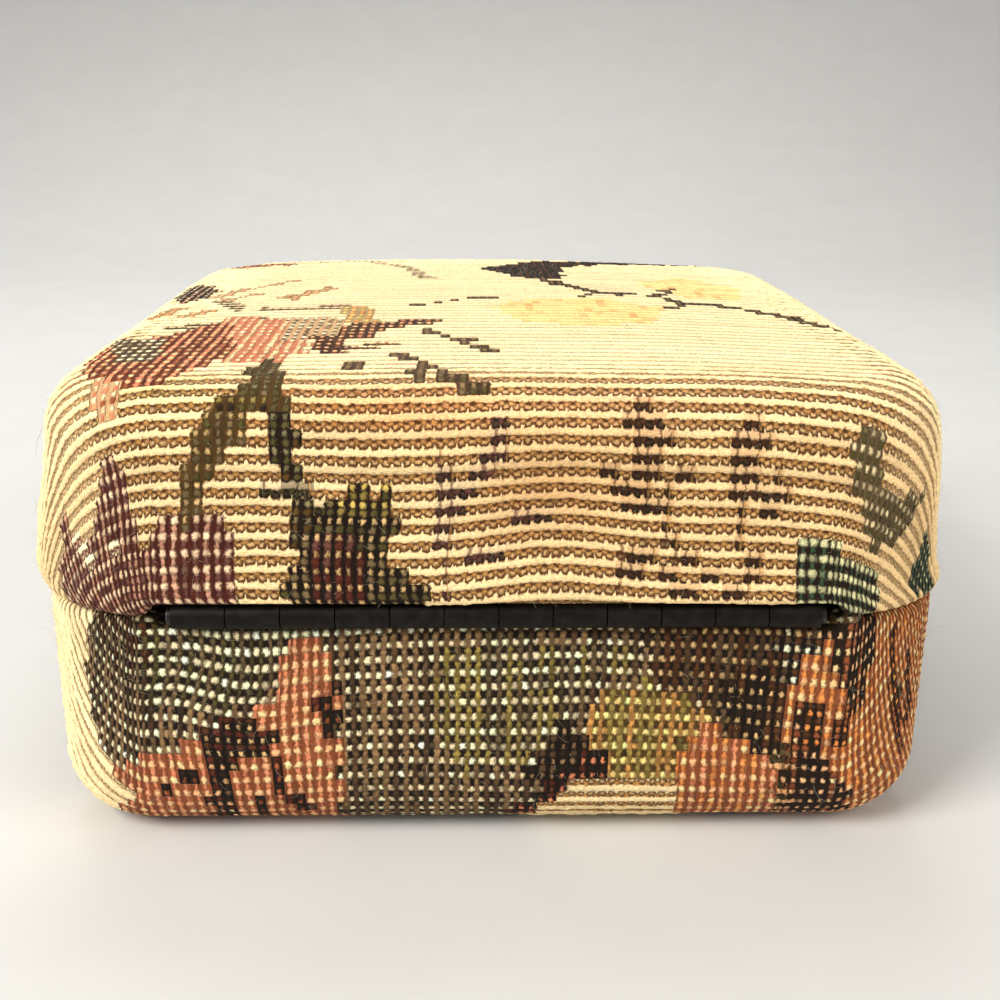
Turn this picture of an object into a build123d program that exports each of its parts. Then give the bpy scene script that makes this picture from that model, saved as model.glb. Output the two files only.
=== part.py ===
from build123d import *
import os
from math import atan2, degrees

# A small square keepsake box covered in woven tapestry, with a domed lid on a back hinge.
# Millimetres. +Z is up, the table is z = 0, the hinge is at the back (+Y), the box opens at the
# front (-Y), and the origin is the middle of the underside.

# The whole box
box_width = 90.0            # X, over the lid's cloth
box_depth = 90.0            # Y, over the lid's cloth
base_height = 24.05         # table to the base's mouth
lid_height = 22.4           # lid's mouth to the middle of its crown
seam_gap = 0.3              # daylight between the two mouths when the lid is shut
base_step = 1.6             # the base stands in from the lid by this much all round

# The base's outside
base_corner_radius = 10.0   # seen from above
base_edge_radius = 7.0      # where the walls turn under

# The lid's outside
lid_corner_radius = 14.5    # seen from above
lid_lean = 1.6              # how far each wall leans in on its way up to the shoulder
lid_edge_radius = 5.5       # where the walls turn over onto the top
lid_crown = 1.3             # rise of the top's middle above the middle of a side
hem_radius = 0.85           # where the cloth turns in at each mouth

# Layers, from the outside in
cloth_thickness = 0.9       # tapestry
glue_gap = 0.05             # glue line between two layers
wadding_thickness = 0.8     # under the base's cloth
foam_side_thickness = 0.8   # under the lid's cloth, on the walls
foam_top_thickness = 3.0    # under the lid's cloth, at the middle of the top
shell_wall = 1.8            # moulded shells, beside the frame
lining_wall = 1.2           # velvet on card, round the walls
card_thickness = 1.0        # boards under the pads
pad_thickness = 2.4         # velvet pads, at the middle
pad_crown = 0.9             # how much thinner a pad is at the middle of a side
pad_edge_radius = 0.7       # a pad's soft edge
pad_side_gap = 0.3          # pad to lining
lining_drop = 0.6           # the lining stops this far inside each mouth
least_inner_radius = 0.9    # no inside edge or corner is sharper

# Frames and hinge
sheet_thickness = 0.7       # steel of both frames and their knuckles
frame_depth = 7.0           # how far each frame reaches in from its mouth
pin_radius = 0.45
pin_clearance = 0.05        # pin to knuckle, all round
pin_head_radius = 0.85
pin_head_length = 0.4
knuckle_pitch = 5.0         # along the pin
knuckle_count = 12          # they take turns: base, lid, base
knuckle_gap = 0.12          # between two neighbours, along the pin
hinge_set_back = 1.4        # pin's axis, in from the lid's back face
window_clearance = 0.15     # cloth and shell to knuckle
window_end_gap = 0.6        # cloth to the pin's heads

# Snap spring and the two cam tongues of the lid's frame that it leans on
tongue_drop = 2.9           # tongues reach this far below the pin's axis
tongue_side_gap = 0.3       # tongue to the base's leaves beside it
tongue_swing_gap = 0.3      # base's frame to the tongues' swing, below them
spring_thickness = 0.4
spring_foot_height = 3.0
spring_bend_drop = 4.1      # top of its foot, below the pin's axis
spring_nose_drop = 2.75     # where it touches the tongues, below the pin's axis
spring_top_drop = 1.75      # its free end, below the pin's axis
spring_touch_gap = 0.05
pocket_clearance = 0.25     # shell and wadding to the tongues' swing

overrun = 2.0               # how far every cut runs past what it cuts

# Places that follow from the sizes above
lid_mouth = base_height + seam_gap
lid_top = lid_mouth + lid_height
hinge_y = box_depth / 2 - hinge_set_back
hinge_z = base_height + seam_gap / 2
bore_radius = pin_radius + pin_clearance
knuckle_radius = bore_radius + sheet_thickness
hinge_length = knuckle_count * knuckle_pitch
hinge_start = -hinge_length / 2
window_half = hinge_length / 2 + pin_head_length + window_end_gap
crown_radius = (box_depth ** 2 / 4 + lid_crown ** 2) / (2 * lid_crown)
shoulder_height = lid_height - lid_crown - lid_edge_radius
lean_angle = degrees(atan2(lid_lean, shoulder_height))
pad_radius = (box_depth ** 2 / 4 + pad_crown ** 2) / (2 * pad_crown)

# How far in from the base's outside each layer starts
base_wadding_in = cloth_thickness + glue_gap
base_shell_in = base_wadding_in + wadding_thickness + glue_gap
base_frame_in = base_shell_in + shell_wall + glue_gap
base_lining_in = base_frame_in + sheet_thickness + glue_gap
base_room_in = base_lining_in + lining_wall
base_floor = base_shell_in + shell_wall
base_half_depth = box_depth / 2 - base_step

# How far in from the lid's outside each layer starts, on the walls and on the top
lid_foam_in = cloth_thickness + glue_gap
lid_shell_in = lid_foam_in + foam_side_thickness + glue_gap
lid_shell_down = lid_foam_in + foam_top_thickness + glue_gap
lid_frame_in = lid_shell_in + shell_wall + glue_gap
lid_lining_in = lid_frame_in + sheet_thickness + glue_gap
lid_room_in = lid_lining_in + lining_wall
lid_ceiling = lid_top - lid_shell_down - shell_wall

# The hinge's tongues sit on the two lid knuckles beside the middle
tongue_knuckles = (knuckle_count // 2 - 1, knuckle_count // 2 + 1)
tongue_y = box_depth / 2 - lid_frame_in - sheet_thickness
spring_middle_x = hinge_start + (knuckle_count / 2 + 1 / 2) * knuckle_pitch
spring_width = 3 * knuckle_pitch - 2 * tongue_side_gap
spring_bend_z = hinge_z - spring_bend_drop
spring_foot_z = spring_bend_z - spring_foot_height


def least(radius):
    return max(radius, least_inner_radius)


def slab(low, high):
    # Everything between two heights, wider than the box
    wide = box_width + box_depth
    return Pos(0, 0, low) * Box(wide, wide, high - low, align=(Align.CENTER, Align.CENTER, Align.MIN))


def bar(x0, x1, y0, y1, z0, z1):
    # A block between two corners
    return Pos(x0, y0, z0) * Box(x1 - x0, y1 - y0, z1 - z0, align=(Align.MIN, Align.MIN, Align.MIN))


def rod(radius, x0, x1):
    # A round rod on the pin's axis
    start = Plane(origin=(x0, hinge_y, hinge_z), x_dir=(0, 1, 0), z_dir=(1, 0, 0))
    return extrude(start * Circle(radius), x1 - x0)


def base_block(inset, low, high):
    # The base's outside, brought in by the inset on its walls, from one height to another
    width = box_width - 2 * (base_step + inset)
    depth = box_depth - 2 * (base_step + inset)
    return Pos(0, 0, low) * extrude(RectangleRounded(width, depth, least(base_corner_radius - inset)), high - low)


def base_bowl(inset, high):
    # The same with its underside as far in as its walls, and its lower edge rounded
    block = base_block(inset, inset, high)
    rim = block.faces().sort_by(Axis.Z)[0].edges()
    return fillet(rim, least(base_edge_radius - inset))


def lid_block(inset, down):
    # The lid's outside, brought in by the inset on its walls and lowered on its top
    plan = RectangleRounded(box_width - 2 * inset, box_depth - 2 * inset, least(lid_corner_radius - inset))
    walls = Pos(0, 0, lid_mouth) * extrude(plan, lid_height + overrun, taper=lean_angle)
    crown = Pos(0, 0, lid_top - crown_radius) * Sphere(crown_radius - down)
    return walls & crown


def lid_dome(inset, down):
    # The same with its upper edge rounded
    block = lid_block(inset, down)
    rim = block.faces().sort_by(Axis.Z)[-1].edges()
    return fillet(rim, least(lid_edge_radius - inset))


def lid_tray(inset, high):
    # The lid's walls under a flat top at the given height, with its upper edge rounded
    plan = RectangleRounded(box_width - 2 * inset, box_depth - 2 * inset, least(lid_corner_radius - inset))
    block = Pos(0, 0, lid_mouth) * extrude(plan, high - lid_mouth, taper=lean_angle)
    rim = block.faces().sort_by(Axis.Z)[-1].edges()
    return fillet(rim, least(lid_edge_radius - inset))


def lid_plug(inset):
    # The shape of a mouth, to cut it open downwards
    plan = RectangleRounded(box_width - 2 * inset, box_depth - 2 * inset, least(lid_corner_radius - inset))
    return Pos(0, 0, lid_mouth - overrun) * extrude(plan, overrun)


def base_window():
    # Room for the hinge in what surrounds the base's frame
    front = base_half_depth - base_frame_in - sheet_thickness / 2
    floor = hinge_z - knuckle_radius - window_clearance
    return bar(-window_half, window_half, front, box_depth / 2 + overrun, floor, lid_mouth + overrun)


def lid_window():
    # Room for the hinge in what surrounds the lid's frame
    front = box_depth / 2 - lid_frame_in - sheet_thickness / 2
    roof = hinge_z + knuckle_radius + window_clearance
    return bar(-window_half, window_half, front, box_depth / 2 + overrun, lid_mouth - overrun, roof)


def spring_pocket():
    # A shallow seat for the spring's foot, and above it the room in which the tongues swing
    half = spring_width / 2 + tongue_side_gap
    left, right = spring_middle_x - half, spring_middle_x + half
    frame_face = base_half_depth - base_frame_in
    foot_back = frame_face + spring_thickness + 2 * glue_gap
    seat = bar(left, right, frame_face, foot_back, spring_foot_z - glue_gap, spring_bend_z)
    back = tongue_y + sheet_thickness + pocket_clearance
    swing = bar(left, right, frame_face, back, spring_bend_z, base_height + overrun)
    return seat + swing


def knuckle(number):
    # One rolled knuckle, with its place along the pin
    x0 = hinge_start + number * knuckle_pitch + knuckle_gap / 2
    return rod(knuckle_radius, x0, x0 + knuckle_pitch - knuckle_gap), x0, x0 + knuckle_pitch - knuckle_gap


def base_cover():
    # Tapestry laid under the tray, pulled up its walls and turned in over its mouth
    body = base_bowl(0, base_height)
    body = fillet(body.faces().sort_by(Axis.Z)[-1].edges(), hem_radius)
    body -= base_bowl(cloth_thickness, base_height - cloth_thickness)
    body -= base_block(base_frame_in - glue_gap, base_height - cloth_thickness - overrun, base_height + overrun)
    return body - base_window()


def base_wadding():
    # Thin wadding between the tapestry and the tray
    high = base_height - cloth_thickness - glue_gap
    body = base_bowl(base_wadding_in, high)
    body -= base_bowl(base_wadding_in + wadding_thickness, high + overrun)
    return body - base_window() - spring_pocket()


def base_shell():
    # Moulded tray, rebated at the mouth for the frame, with a pocket for the spring
    high = base_height - cloth_thickness - glue_gap
    body = base_bowl(base_shell_in, high)
    room = base_block(base_shell_in + shell_wall + sheet_thickness, base_floor, high + overrun)
    body -= fillet(room.faces().sort_by(Axis.Z)[0].edges(), least_inner_radius)
    body -= base_block(base_frame_in - glue_gap, base_height - frame_depth - glue_gap, high + overrun)
    return body - base_window() - spring_pocket()


def base_frame():
    # Steel ring in the base's mouth; every other knuckle of the hinge is rolled from its leaves
    low = base_height - frame_depth
    ring = base_block(base_frame_in, low, base_height)
    ring -= base_block(base_frame_in + sheet_thickness, low - overrun, base_height + overrun)
    face = base_half_depth - base_frame_in
    leaf_low = hinge_z - knuckle_radius
    for number in range(0, knuckle_count, 2):
        roll, x0, x1 = knuckle(number)
        ring += roll + bar(x0, x1, face - sheet_thickness / 2, hinge_y, leaf_low, leaf_low + sheet_thickness)
    notch_low = hinge_z - tongue_drop - tongue_swing_gap
    for number in tongue_knuckles:
        roll, x0, x1 = knuckle(number)
        ring -= bar(x0, x1, face - overrun, face + glue_gap, notch_low, base_height + overrun)
    return ring - rod(bore_radius, hinge_start - overrun, hinge_start + hinge_length + overrun)


def hinge_pin():
    # Pin with two peened heads, just clear of the end knuckles
    end = hinge_length / 2
    pin = rod(pin_radius, -end - pin_head_length, end + pin_head_length)
    return pin + rod(pin_head_radius, -end - pin_head_length, -end) + rod(pin_head_radius, end, end + pin_head_length)


def snap_spring():
    # Flat leaf whose foot is held between tray and frame and whose nose leans on the tongues
    foot_y = base_half_depth - base_frame_in + glue_gap + spring_thickness / 2
    nose = (tongue_y - spring_touch_gap - spring_thickness / 2, hinge_z - spring_nose_drop)
    top = (foot_y + spring_thickness, hinge_z - spring_top_drop)
    side = Plane(origin=(spring_middle_x - spring_width / 2, 0, 0), x_dir=(0, 1, 0), z_dir=(1, 0, 0))
    bend = (foot_y, spring_bend_z)
    path = Line((foot_y, spring_foot_z), bend) + ThreePointArc(bend, nose, top)
    return extrude(side * trace(path, spring_thickness), spring_width)


def base_lining():
    # Velvet on card, standing round the inside of the tray
    low = base_floor + glue_gap + least_inner_radius
    ring = base_block(base_lining_in, low, base_height - lining_drop)
    return ring - base_block(base_room_in, low - overrun, base_height + overrun)


def floor_card():
    # Board glued on the tray's floor
    low = base_floor + glue_gap
    return base_block(base_room_in + pad_side_gap, low, low + card_thickness)


def crowned_pad(plate, high):
    # A plate whose upper face is crowned and whose upper edge is soft
    pad = plate & (Pos(0, 0, high - pad_radius) * Sphere(pad_radius))
    return fillet(pad.faces().sort_by(Axis.Z)[-1].edges(), pad_edge_radius)


def floor_pad():
    # Velvet pad on the floor board
    low = base_floor + 2 * glue_gap + card_thickness
    high = low + pad_thickness
    return crowned_pad(base_block(base_room_in + pad_side_gap, low, high + overrun), high)


def lid_cover():
    # Tapestry pulled down over the dome and turned in at the mouth
    body = lid_dome(0, 0)
    body = fillet(body.faces().sort_by(Axis.Z)[0].edges(), hem_radius)
    hollow = lid_dome(cloth_thickness, cloth_thickness) & slab(lid_mouth + cloth_thickness, lid_top)
    mouth = lid_block(lid_frame_in - glue_gap, cloth_thickness) & slab(lid_mouth, lid_ceiling)
    return body - hollow - mouth - lid_plug(lid_frame_in - glue_gap) - lid_window()


def lid_foam():
    # Foam that gives the lid its pillow shape
    body = lid_dome(lid_foam_in, lid_foam_in) & slab(lid_mouth + lid_foam_in, lid_top)
    hollow = lid_tray(lid_shell_in - glue_gap, lid_top - lid_shell_down + glue_gap)
    return body - hollow - lid_window()


def lid_shell():
    # Moulded lid, rebated at the mouth for the frame
    body = lid_tray(lid_shell_in, lid_top - lid_shell_down) & slab(lid_mouth + lid_foam_in, lid_top)
    body -= lid_tray(lid_shell_in + shell_wall + sheet_thickness, lid_ceiling)
    rebate = lid_block(lid_frame_in - glue_gap, 0)
    body -= rebate & slab(lid_mouth, lid_mouth + frame_depth + glue_gap)
    return body - lid_window()


def lid_frame():
    # Steel ring in the lid's mouth, with the other knuckles and the two cam tongues
    ring = lid_block(lid_frame_in, 0) - lid_block(lid_frame_in + sheet_thickness, 0)
    ring &= slab(lid_mouth, lid_mouth + frame_depth)
    face = box_depth / 2 - lid_frame_in
    leaf_high = hinge_z + knuckle_radius
    for number in range(1, knuckle_count, 2):
        roll, x0, x1 = knuckle(number)
        ring += roll + bar(x0, x1, face - sheet_thickness, hinge_y, leaf_high - sheet_thickness, leaf_high)
        if number in tongue_knuckles:
            left, right = x0 + tongue_side_gap, x1 - tongue_side_gap
            ring += bar(left, right, tongue_y, face, hinge_z - tongue_drop, leaf_high)
    return ring - rod(bore_radius, hinge_start - overrun, hinge_start + hinge_length + overrun)


def lid_lining():
    # Velvet on card, round the inside of the lid's walls
    high = lid_ceiling - glue_gap - least(lid_edge_radius - lid_lining_in)
    ring = lid_block(lid_lining_in, 0) - lid_block(lid_room_in, 0)
    return ring & slab(lid_mouth + lining_drop, high)


def ceiling_plate(low, high):
    # A flat board's shape, inside the lining where the lid is narrowest
    inset = lid_room_in + pad_side_gap + lid_lean * (lid_ceiling - lid_mouth) / shoulder_height
    plan = RectangleRounded(box_width - 2 * inset, box_depth - 2 * inset, least(lid_corner_radius - inset))
    return Pos(0, 0, low) * extrude(plan, high - low)


def lid_card():
    # Board glued under the shell's ceiling
    high = lid_ceiling - glue_gap
    return ceiling_plate(high - card_thickness, high)


def lid_pad():
    # Velvet pad under the board, crowned downwards
    high = lid_ceiling - 2 * glue_gap - card_thickness
    pad = crowned_pad(ceiling_plate(0, pad_thickness + overrun), pad_thickness)
    return Pos(0, 0, high) * Rot(180, 0, 0) * pad


makers = [
    base_cover, base_wadding, base_shell, base_frame, hinge_pin, snap_spring, base_lining, floor_card,
    floor_pad, lid_cover, lid_foam, lid_shell, lid_frame, lid_lining, lid_card, lid_pad,
]

os.makedirs("parts", exist_ok=True)
for maker in makers:
    piece = maker()
    piece.label = maker.__name__
    export_step(piece, f"parts/{maker.__name__}.step")
    print(maker.__name__, "solids", len(piece.solids()), "volume", round(piece.volume, 2))
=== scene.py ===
import math
import bmesh
import bpy
import numpy as np
from mathutils import Matrix, Vector


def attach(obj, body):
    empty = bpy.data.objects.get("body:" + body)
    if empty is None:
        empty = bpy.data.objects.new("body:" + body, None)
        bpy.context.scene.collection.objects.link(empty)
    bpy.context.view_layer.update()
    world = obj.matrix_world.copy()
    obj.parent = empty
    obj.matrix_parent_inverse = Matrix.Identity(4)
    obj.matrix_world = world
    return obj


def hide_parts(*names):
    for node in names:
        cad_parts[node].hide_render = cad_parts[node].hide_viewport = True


# Keepsake box in floral tapestry, seen from its hinge side.
# Sizes in the dictionaries are millimetres, the meshes are metres.
# The lid's hinge is at +Y, so what the photograph shows on its left is at +X.
# Places on the cloth are (across, down): across = -X, down = along the cloth towards the hinge.

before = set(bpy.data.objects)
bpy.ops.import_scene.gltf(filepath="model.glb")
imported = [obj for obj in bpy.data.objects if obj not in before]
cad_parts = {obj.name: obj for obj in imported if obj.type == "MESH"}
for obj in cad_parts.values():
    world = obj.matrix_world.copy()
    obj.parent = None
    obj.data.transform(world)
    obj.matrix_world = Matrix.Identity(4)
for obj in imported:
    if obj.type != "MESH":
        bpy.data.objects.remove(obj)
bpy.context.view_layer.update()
mm = 0.001
print("frame loaded,", len(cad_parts), "nodes")


def toLinear(red, green, blue):
    def one(c):
        c = c / 255
        return c / 12.92 if c <= 0.04045 else ((c + 0.055) / 1.055) ** 2.4
    return np.array([one(red), one(green), one(blue)])


def smooth(low, high, x):
    t = np.clip((x - low) / (high - low), 0, 1)
    return t * t * (3 - 2 * t)


def addMesh(name, points, faces, material=None):
    mesh = bpy.data.meshes.new(name)
    mesh.from_pydata((np.asarray(points) * mm).tolist(), [],
                     faces if isinstance(faces, list) else faces.tolist())
    mesh.polygons.foreach_set("use_smooth", [True] * len(mesh.polygons))
    mesh.update()
    piece = bpy.data.objects.new(name, mesh)
    bpy.context.scene.collection.objects.link(piece)
    if material:
        mesh.materials.append(material)
    return piece


def isSocket(value):
    return isinstance(value, bpy.types.NodeSocket)


class Nodes:
    # short way to write a node tree
    def __init__(self, tree):
        self.tree = tree

    def add(self, kind, **settings):
        node = self.tree.nodes.new("ShaderNode" + kind)
        for key, value in settings.items():
            setattr(node, key, value)
        return node

    def put(self, socket, value):
        if isSocket(value):
            self.tree.links.new(value, socket)
        elif value is not None:
            socket.default_value = value

    def fill(self, sockets, *values):
        for socket, value in zip(sockets, values):
            self.put(socket, value)

    def calc(self, operation, a, b=None, c=None, clamp=False):
        node = self.add("Math", operation=operation, use_clamp=clamp)
        self.fill(node.inputs, a, b, c)
        return node.outputs[0]

    def times(self, a, b, clamp=False):
        return self.calc("MULTIPLY", a, b, clamp=clamp)

    def plus(self, a, b):
        return self.calc("ADD", a, b)

    def minus(self, a, b, clamp=False):
        return self.calc("SUBTRACT", a, b, clamp=clamp)

    def mix(self, factor, a, b, blend="MIX"):
        node = self.add("Mix", data_type="RGBA", blend_type=blend)
        a, b = (color if isSocket(color) else (*color, 1) for color in (a, b))
        self.fill((node.inputs[0], node.inputs[6], node.inputs[7]), factor, a, b)
        return node.outputs[2]

    def blend(self, factor, a, b):
        node = self.add("Mix", data_type="FLOAT")
        self.fill((node.inputs[0], node.inputs[2], node.inputs[3]), factor, a, b)
        return node.outputs[0]

    def step(self, value, low, high):
        node = self.add("MapRange", interpolation_type="SMOOTHSTEP")
        self.fill(node.inputs, value, low, high, 0.0, 1.0)
        return node.outputs[0]

    def vector(self, operation, a, b):
        node = self.add("VectorMath", operation=operation)
        self.fill(node.inputs, a, b)
        return node.outputs[0]

    def noise(self, vector, scale, detail=2.0, rough=0.5, output="Fac"):
        node = self.add("TexNoise")
        self.fill([node.inputs[k] for k in ("Vector", "Scale", "Detail", "Roughness")],
                  vector, scale, detail, rough)
        return node.outputs[output]

    def gray(self, value):
        node = self.add("CombineColor")
        self.fill(node.inputs, value, value, value)
        return node.outputs[0]

    def place(self):
        return self.add("TexCoord").outputs["Object"]


def newGroup(name, inputs, outputs):
    tree = bpy.data.node_groups.new(name, "ShaderNodeTree")
    kinds = {"color": "NodeSocketColor", "value": "NodeSocketFloat", "vector": "NodeSocketVector"}
    for label, kind, start in inputs:
        socket = tree.interface.new_socket(name=label, in_out="INPUT", socket_type=kinds[kind])
        if start is not None:
            socket.default_value = start
    for label, kind in outputs:
        tree.interface.new_socket(name=label, in_out="OUTPUT", socket_type=kinds[kind])
    nodes = Nodes(tree)
    return nodes, tree.nodes.new("NodeGroupInput"), tree.nodes.new("NodeGroupOutput")


def newMaterial(name, roughness, **fixed):
    material = bpy.data.materials.new(name)
    material.use_nodes = True
    shader = material.node_tree.nodes["Principled BSDF"]
    shader.inputs["Roughness"].default_value = roughness
    for key, value in fixed.items():
        shader.inputs[key].default_value = value
    return material, Nodes(material.node_tree), shader


def useGroup(nodes, group, **values):
    node = nodes.add("Group", node_tree=group)
    for key, value in values.items():
        nodes.put(node.inputs[key], value)
    return node.outputs


def giveBump(nodes, shader, height, distance):
    bump = nodes.add("Bump")
    bump.inputs["Distance"].default_value = distance
    bump.inputs["Strength"].default_value = 1.0
    nodes.put(bump.inputs["Height"], height)
    nodes.put(shader.inputs["Normal"], bump.outputs[0])


# One stitch is 1 across and 1 down: a weft cord or its floats above, the warp's dots below.
# Lists start with the least size; the rest is what full floats, wide cords or uneven yarns add.
stitch = {
    "cordAt": 0.27, "nextCordFrom": 0.77, "strokeAt": 0.63, "dotAt": 0.8, "dotWide": 0.3, "dotHigh": 0.15,
    "cordHalf": (0.215, 0.21, 0.06), "tooth": (0.09, 0.26), "floatWide": (0.19, 0.19, 0.09),
    "floatHigh": (0.14, 0.1, 0.1), "warpThick": 0.41, "warpThinner": 0.2, "warpHigh": 0.25,
    "wander": ((0.8, (0.5, 0.2, 0)), (3.2, (0.5, 0.26, 0))), "ragged": 0.9,
    # paintedHollowShade: painted shade in the hollows, the least brightness and what the yarn's height adds
    "shade": (0.2, 1.6), "paintedHollowShade": (0.66, 0.42), "fibreRelief": 0.35,
}


def makeWeaveGroup():
    # Full 0 to 1 is the size of the floats, 1 to 2 widens a ground cord until it hides the check row
    n, start, end = newGroup("wovenStitch",
                             [("Place", "vector", None), ("Weft", "color", None), ("Warp", "color", None),
                              ("Gap", "color", None), ("Figured", "value", 0.0), ("Full", "value", 1.0),
                              ("Stagger", "value", 0.0), ("Long", "value", 0.0)],
                             [("Color", "color"), ("Height", "value")])
    place, weft, warp, gap = (start.outputs[k] for k in ("Place", "Weft", "Warp", "Gap"))
    full, stagger, long = (start.outputs[k] for k in ("Full", "Stagger", "Long"))
    upToOne = n.calc("MINIMUM", full, 1.0)
    beyondOne = n.minus(full, 1.0, clamp=True)
    # no stitch sits quite square
    moved = place
    for scale, shift in stitch["wander"]:
        centred = n.vector("SUBTRACT", n.noise(place, scale, 1.0, output="Color"), (0.5, 0.5, 0.5))
        moved = n.vector("ADD", moved, n.vector("MULTIPLY", centred, shift))
    parts = n.add("SeparateXYZ")
    n.put(parts.inputs[0], moved)
    side = n.calc("ABSOLUTE", n.minus(n.calc("FRACT", parts.outputs[0]), 0.5))
    down = n.calc("FRACT", parts.outputs[1])
    fromSide = n.minus(0.5, side)
    fromCord = n.minus(n.minus(down, n.calc("GREATER_THAN", down, stitch["nextCordFrom"])),
                       stitch["cordAt"])

    def away(x, y, wide, high, power=2.4):
        # 1 on the edge of a rounded dot
        dx = n.calc("POWER", n.calc("DIVIDE", x, wide), power)
        dy = n.calc("POWER", n.calc("ABSOLUTE", n.calc("DIVIDE", y, high)), power)
        return n.calc("POWER", n.plus(dx, dy), 1 / power)

    def dome(x):
        return n.calc("SQRT", n.minus(1.0, n.times(x, x), clamp=True))

    def below(middle):
        return n.minus(down, middle)

    alongRow = n.noise(n.vector("MULTIPLY", place, (1.7, 7.0, 1.0)), 1.5, 3.0, 0.62)
    alongColumn = n.noise(n.vector("MULTIPLY", place, (10.0, 2.4, 1.0)), 1.5, 3.0, 0.62)
    uneven = n.noise(place, 1.7)
    ragged = n.noise(n.vector("ADD", place, (7.3, 3.1, 0.0)), 2.3, 2.0)
    # ground: a cord, with the teeth of the binding threads along its upper edge
    least, more = stitch["tooth"]
    tooth = n.times(n.step(fromSide, 0.22, 0.04), n.plus(least, n.times(uneven, more)))
    above = n.calc("LESS_THAN", fromCord, 0.0)
    least, widened, more = stitch["cordHalf"]
    reach = n.plus(n.plus(least, n.times(uneven, more)), n.times(tooth, above))
    reach = n.plus(reach, n.times(beyondOne, widened))
    ratio = n.calc("DIVIDE", n.calc("ABSOLUTE", fromCord), reach)
    cord = n.step(ratio, 1.12, 0.76)
    # ground: strokes under the cord, then dots between the teeth of the next one
    wide, high = stitch["dotWide"], stitch["dotHigh"]
    stroke = n.step(away(fromSide, below(stitch["strokeAt"]), wide, high), 1.35, 0.35)
    dot = n.step(away(side, below(stitch["dotAt"]), wide, high), 1.3, 0.3)
    check = n.mix(n.times(stroke, 0.85), gap, warp)
    check = n.mix(n.times(dot, upToOne), check, n.mix(0.42, warp, weft))
    # painted shade: the lower side of each cord is mixed towards the warp's darker colour
    paintedUndersideShade = n.times(n.step(n.times(ratio, n.minus(1.0, above)), 0.35, 1.0), 0.45)
    groundColor = n.mix(cord, check, n.mix(paintedUndersideShade, weft, warp))
    upright = n.times(n.step(n.blend(stagger, fromSide, side), 0.2, 0.06), long)
    groundColor = n.mix(upright, groundColor, n.mix(0.35, warp, gap))
    groundHeight = n.blend(cord, n.times(n.calc("MAXIMUM", dot, n.times(stroke, 0.6)), 0.4),
                           n.plus(0.35, n.times(dome(ratio), 0.65)))
    # figure: floats of the weft over threads of the warp, which run between the floats where staggered
    least, more, widened = stitch["floatWide"]
    wide = n.plus(n.plus(least, n.times(upToOne, more)), n.times(beyondOne, widened))
    least, more, rough = stitch["floatHigh"]
    high = n.plus(n.plus(least, n.times(upToOne, more)), n.times(uneven, rough))
    weftAway = away(side, fromCord, wide, high, 2.8)
    weftDot = n.step(weftAway, 1.22, 0.66)
    thick = n.minus(stitch["warpThick"], n.times(upToOne, stitch["warpThinner"]))
    fromWarp = n.blend(stagger, side, fromSide)
    warpAway = away(fromWarp, below(stitch["nextCordFrom"]), thick, stitch["warpHigh"])
    warpDot = n.step(warpAway, 1.25, 0.6)
    band = n.times(n.step(n.calc("DIVIDE", fromWarp, thick), 1.2, 0.5), long)
    figureColor = n.mix(n.calc("MAXIMUM", warpDot, band), gap, warp)
    figureColor = n.mix(weftDot, figureColor, weft)
    warpHeight = n.calc("MAXIMUM", n.times(warpDot, n.times(dome(warpAway), 0.75)), n.times(band, 0.6))
    figureHeight = n.calc("MAXIMUM", warpHeight, n.times(weftDot, dome(weftAway)))
    # the edge of a figure follows the yarns, not the grid
    shift = n.times(n.minus(ragged, 0.5), stitch["ragged"])
    figured = n.step(n.plus(start.outputs["Figured"], shift), 0.38, 0.62)
    color = n.mix(figured, groundColor, figureColor)
    height = n.blend(figured, groundHeight, figureHeight)
    fibre = n.blend(n.times(figured, n.minus(1.0, weftDot)), alongRow, alongColumn)
    # painted shade: the colour darkens where the relief is low, between cords and floats, over the yarn's
    # own uneven tone
    least, more = stitch["paintedHollowShade"]
    paintedHollowShade = n.plus(least, n.times(height, more))
    least, more = stitch["shade"]
    shade = n.times(n.plus(least, n.times(fibre, more)), paintedHollowShade)
    n.put(end.inputs["Color"], n.mix(1.0, color, n.gray(shade), "MULTIPLY"))
    n.put(end.inputs["Height"], n.plus(height, n.times(fibre, stitch["fibreRelief"])))
    return n.tree


weaveGroup = makeWeaveGroup()

tapestry = {"bump": 0.0004, "roughness": 0.9, "sheen": 0.03, "sheenRoughness": 0.6, "specular": 0.12}


def makeTapestry(name):
    material, n, shader = newMaterial(name, tapestry["roughness"], **{
        "Sheen Weight": tapestry["sheen"], "Sheen Roughness": tapestry["sheenRoughness"],
        "Specular IOR Level": tapestry["specular"]})

    def read(attribute):
        return n.add("Attribute", attribute_type="GEOMETRY", attribute_name=attribute).outputs

    weft, warp, gap = read("weftColor"), read("warpColor"), read("gapColor")
    woven = useGroup(n, weaveGroup, Place=read("clothPlace")["Vector"], Figured=read("figured")["Fac"],
                     Weft=weft["Color"], Warp=warp["Color"], Gap=gap["Color"],
                     Full=n.times(weft["Alpha"], 2.0), Stagger=warp["Alpha"], Long=gap["Alpha"])
    n.put(shader.inputs["Base Color"], woven["Color"])
    giveBump(n, shader, woven["Height"], tapestry["bump"])
    return material


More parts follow.
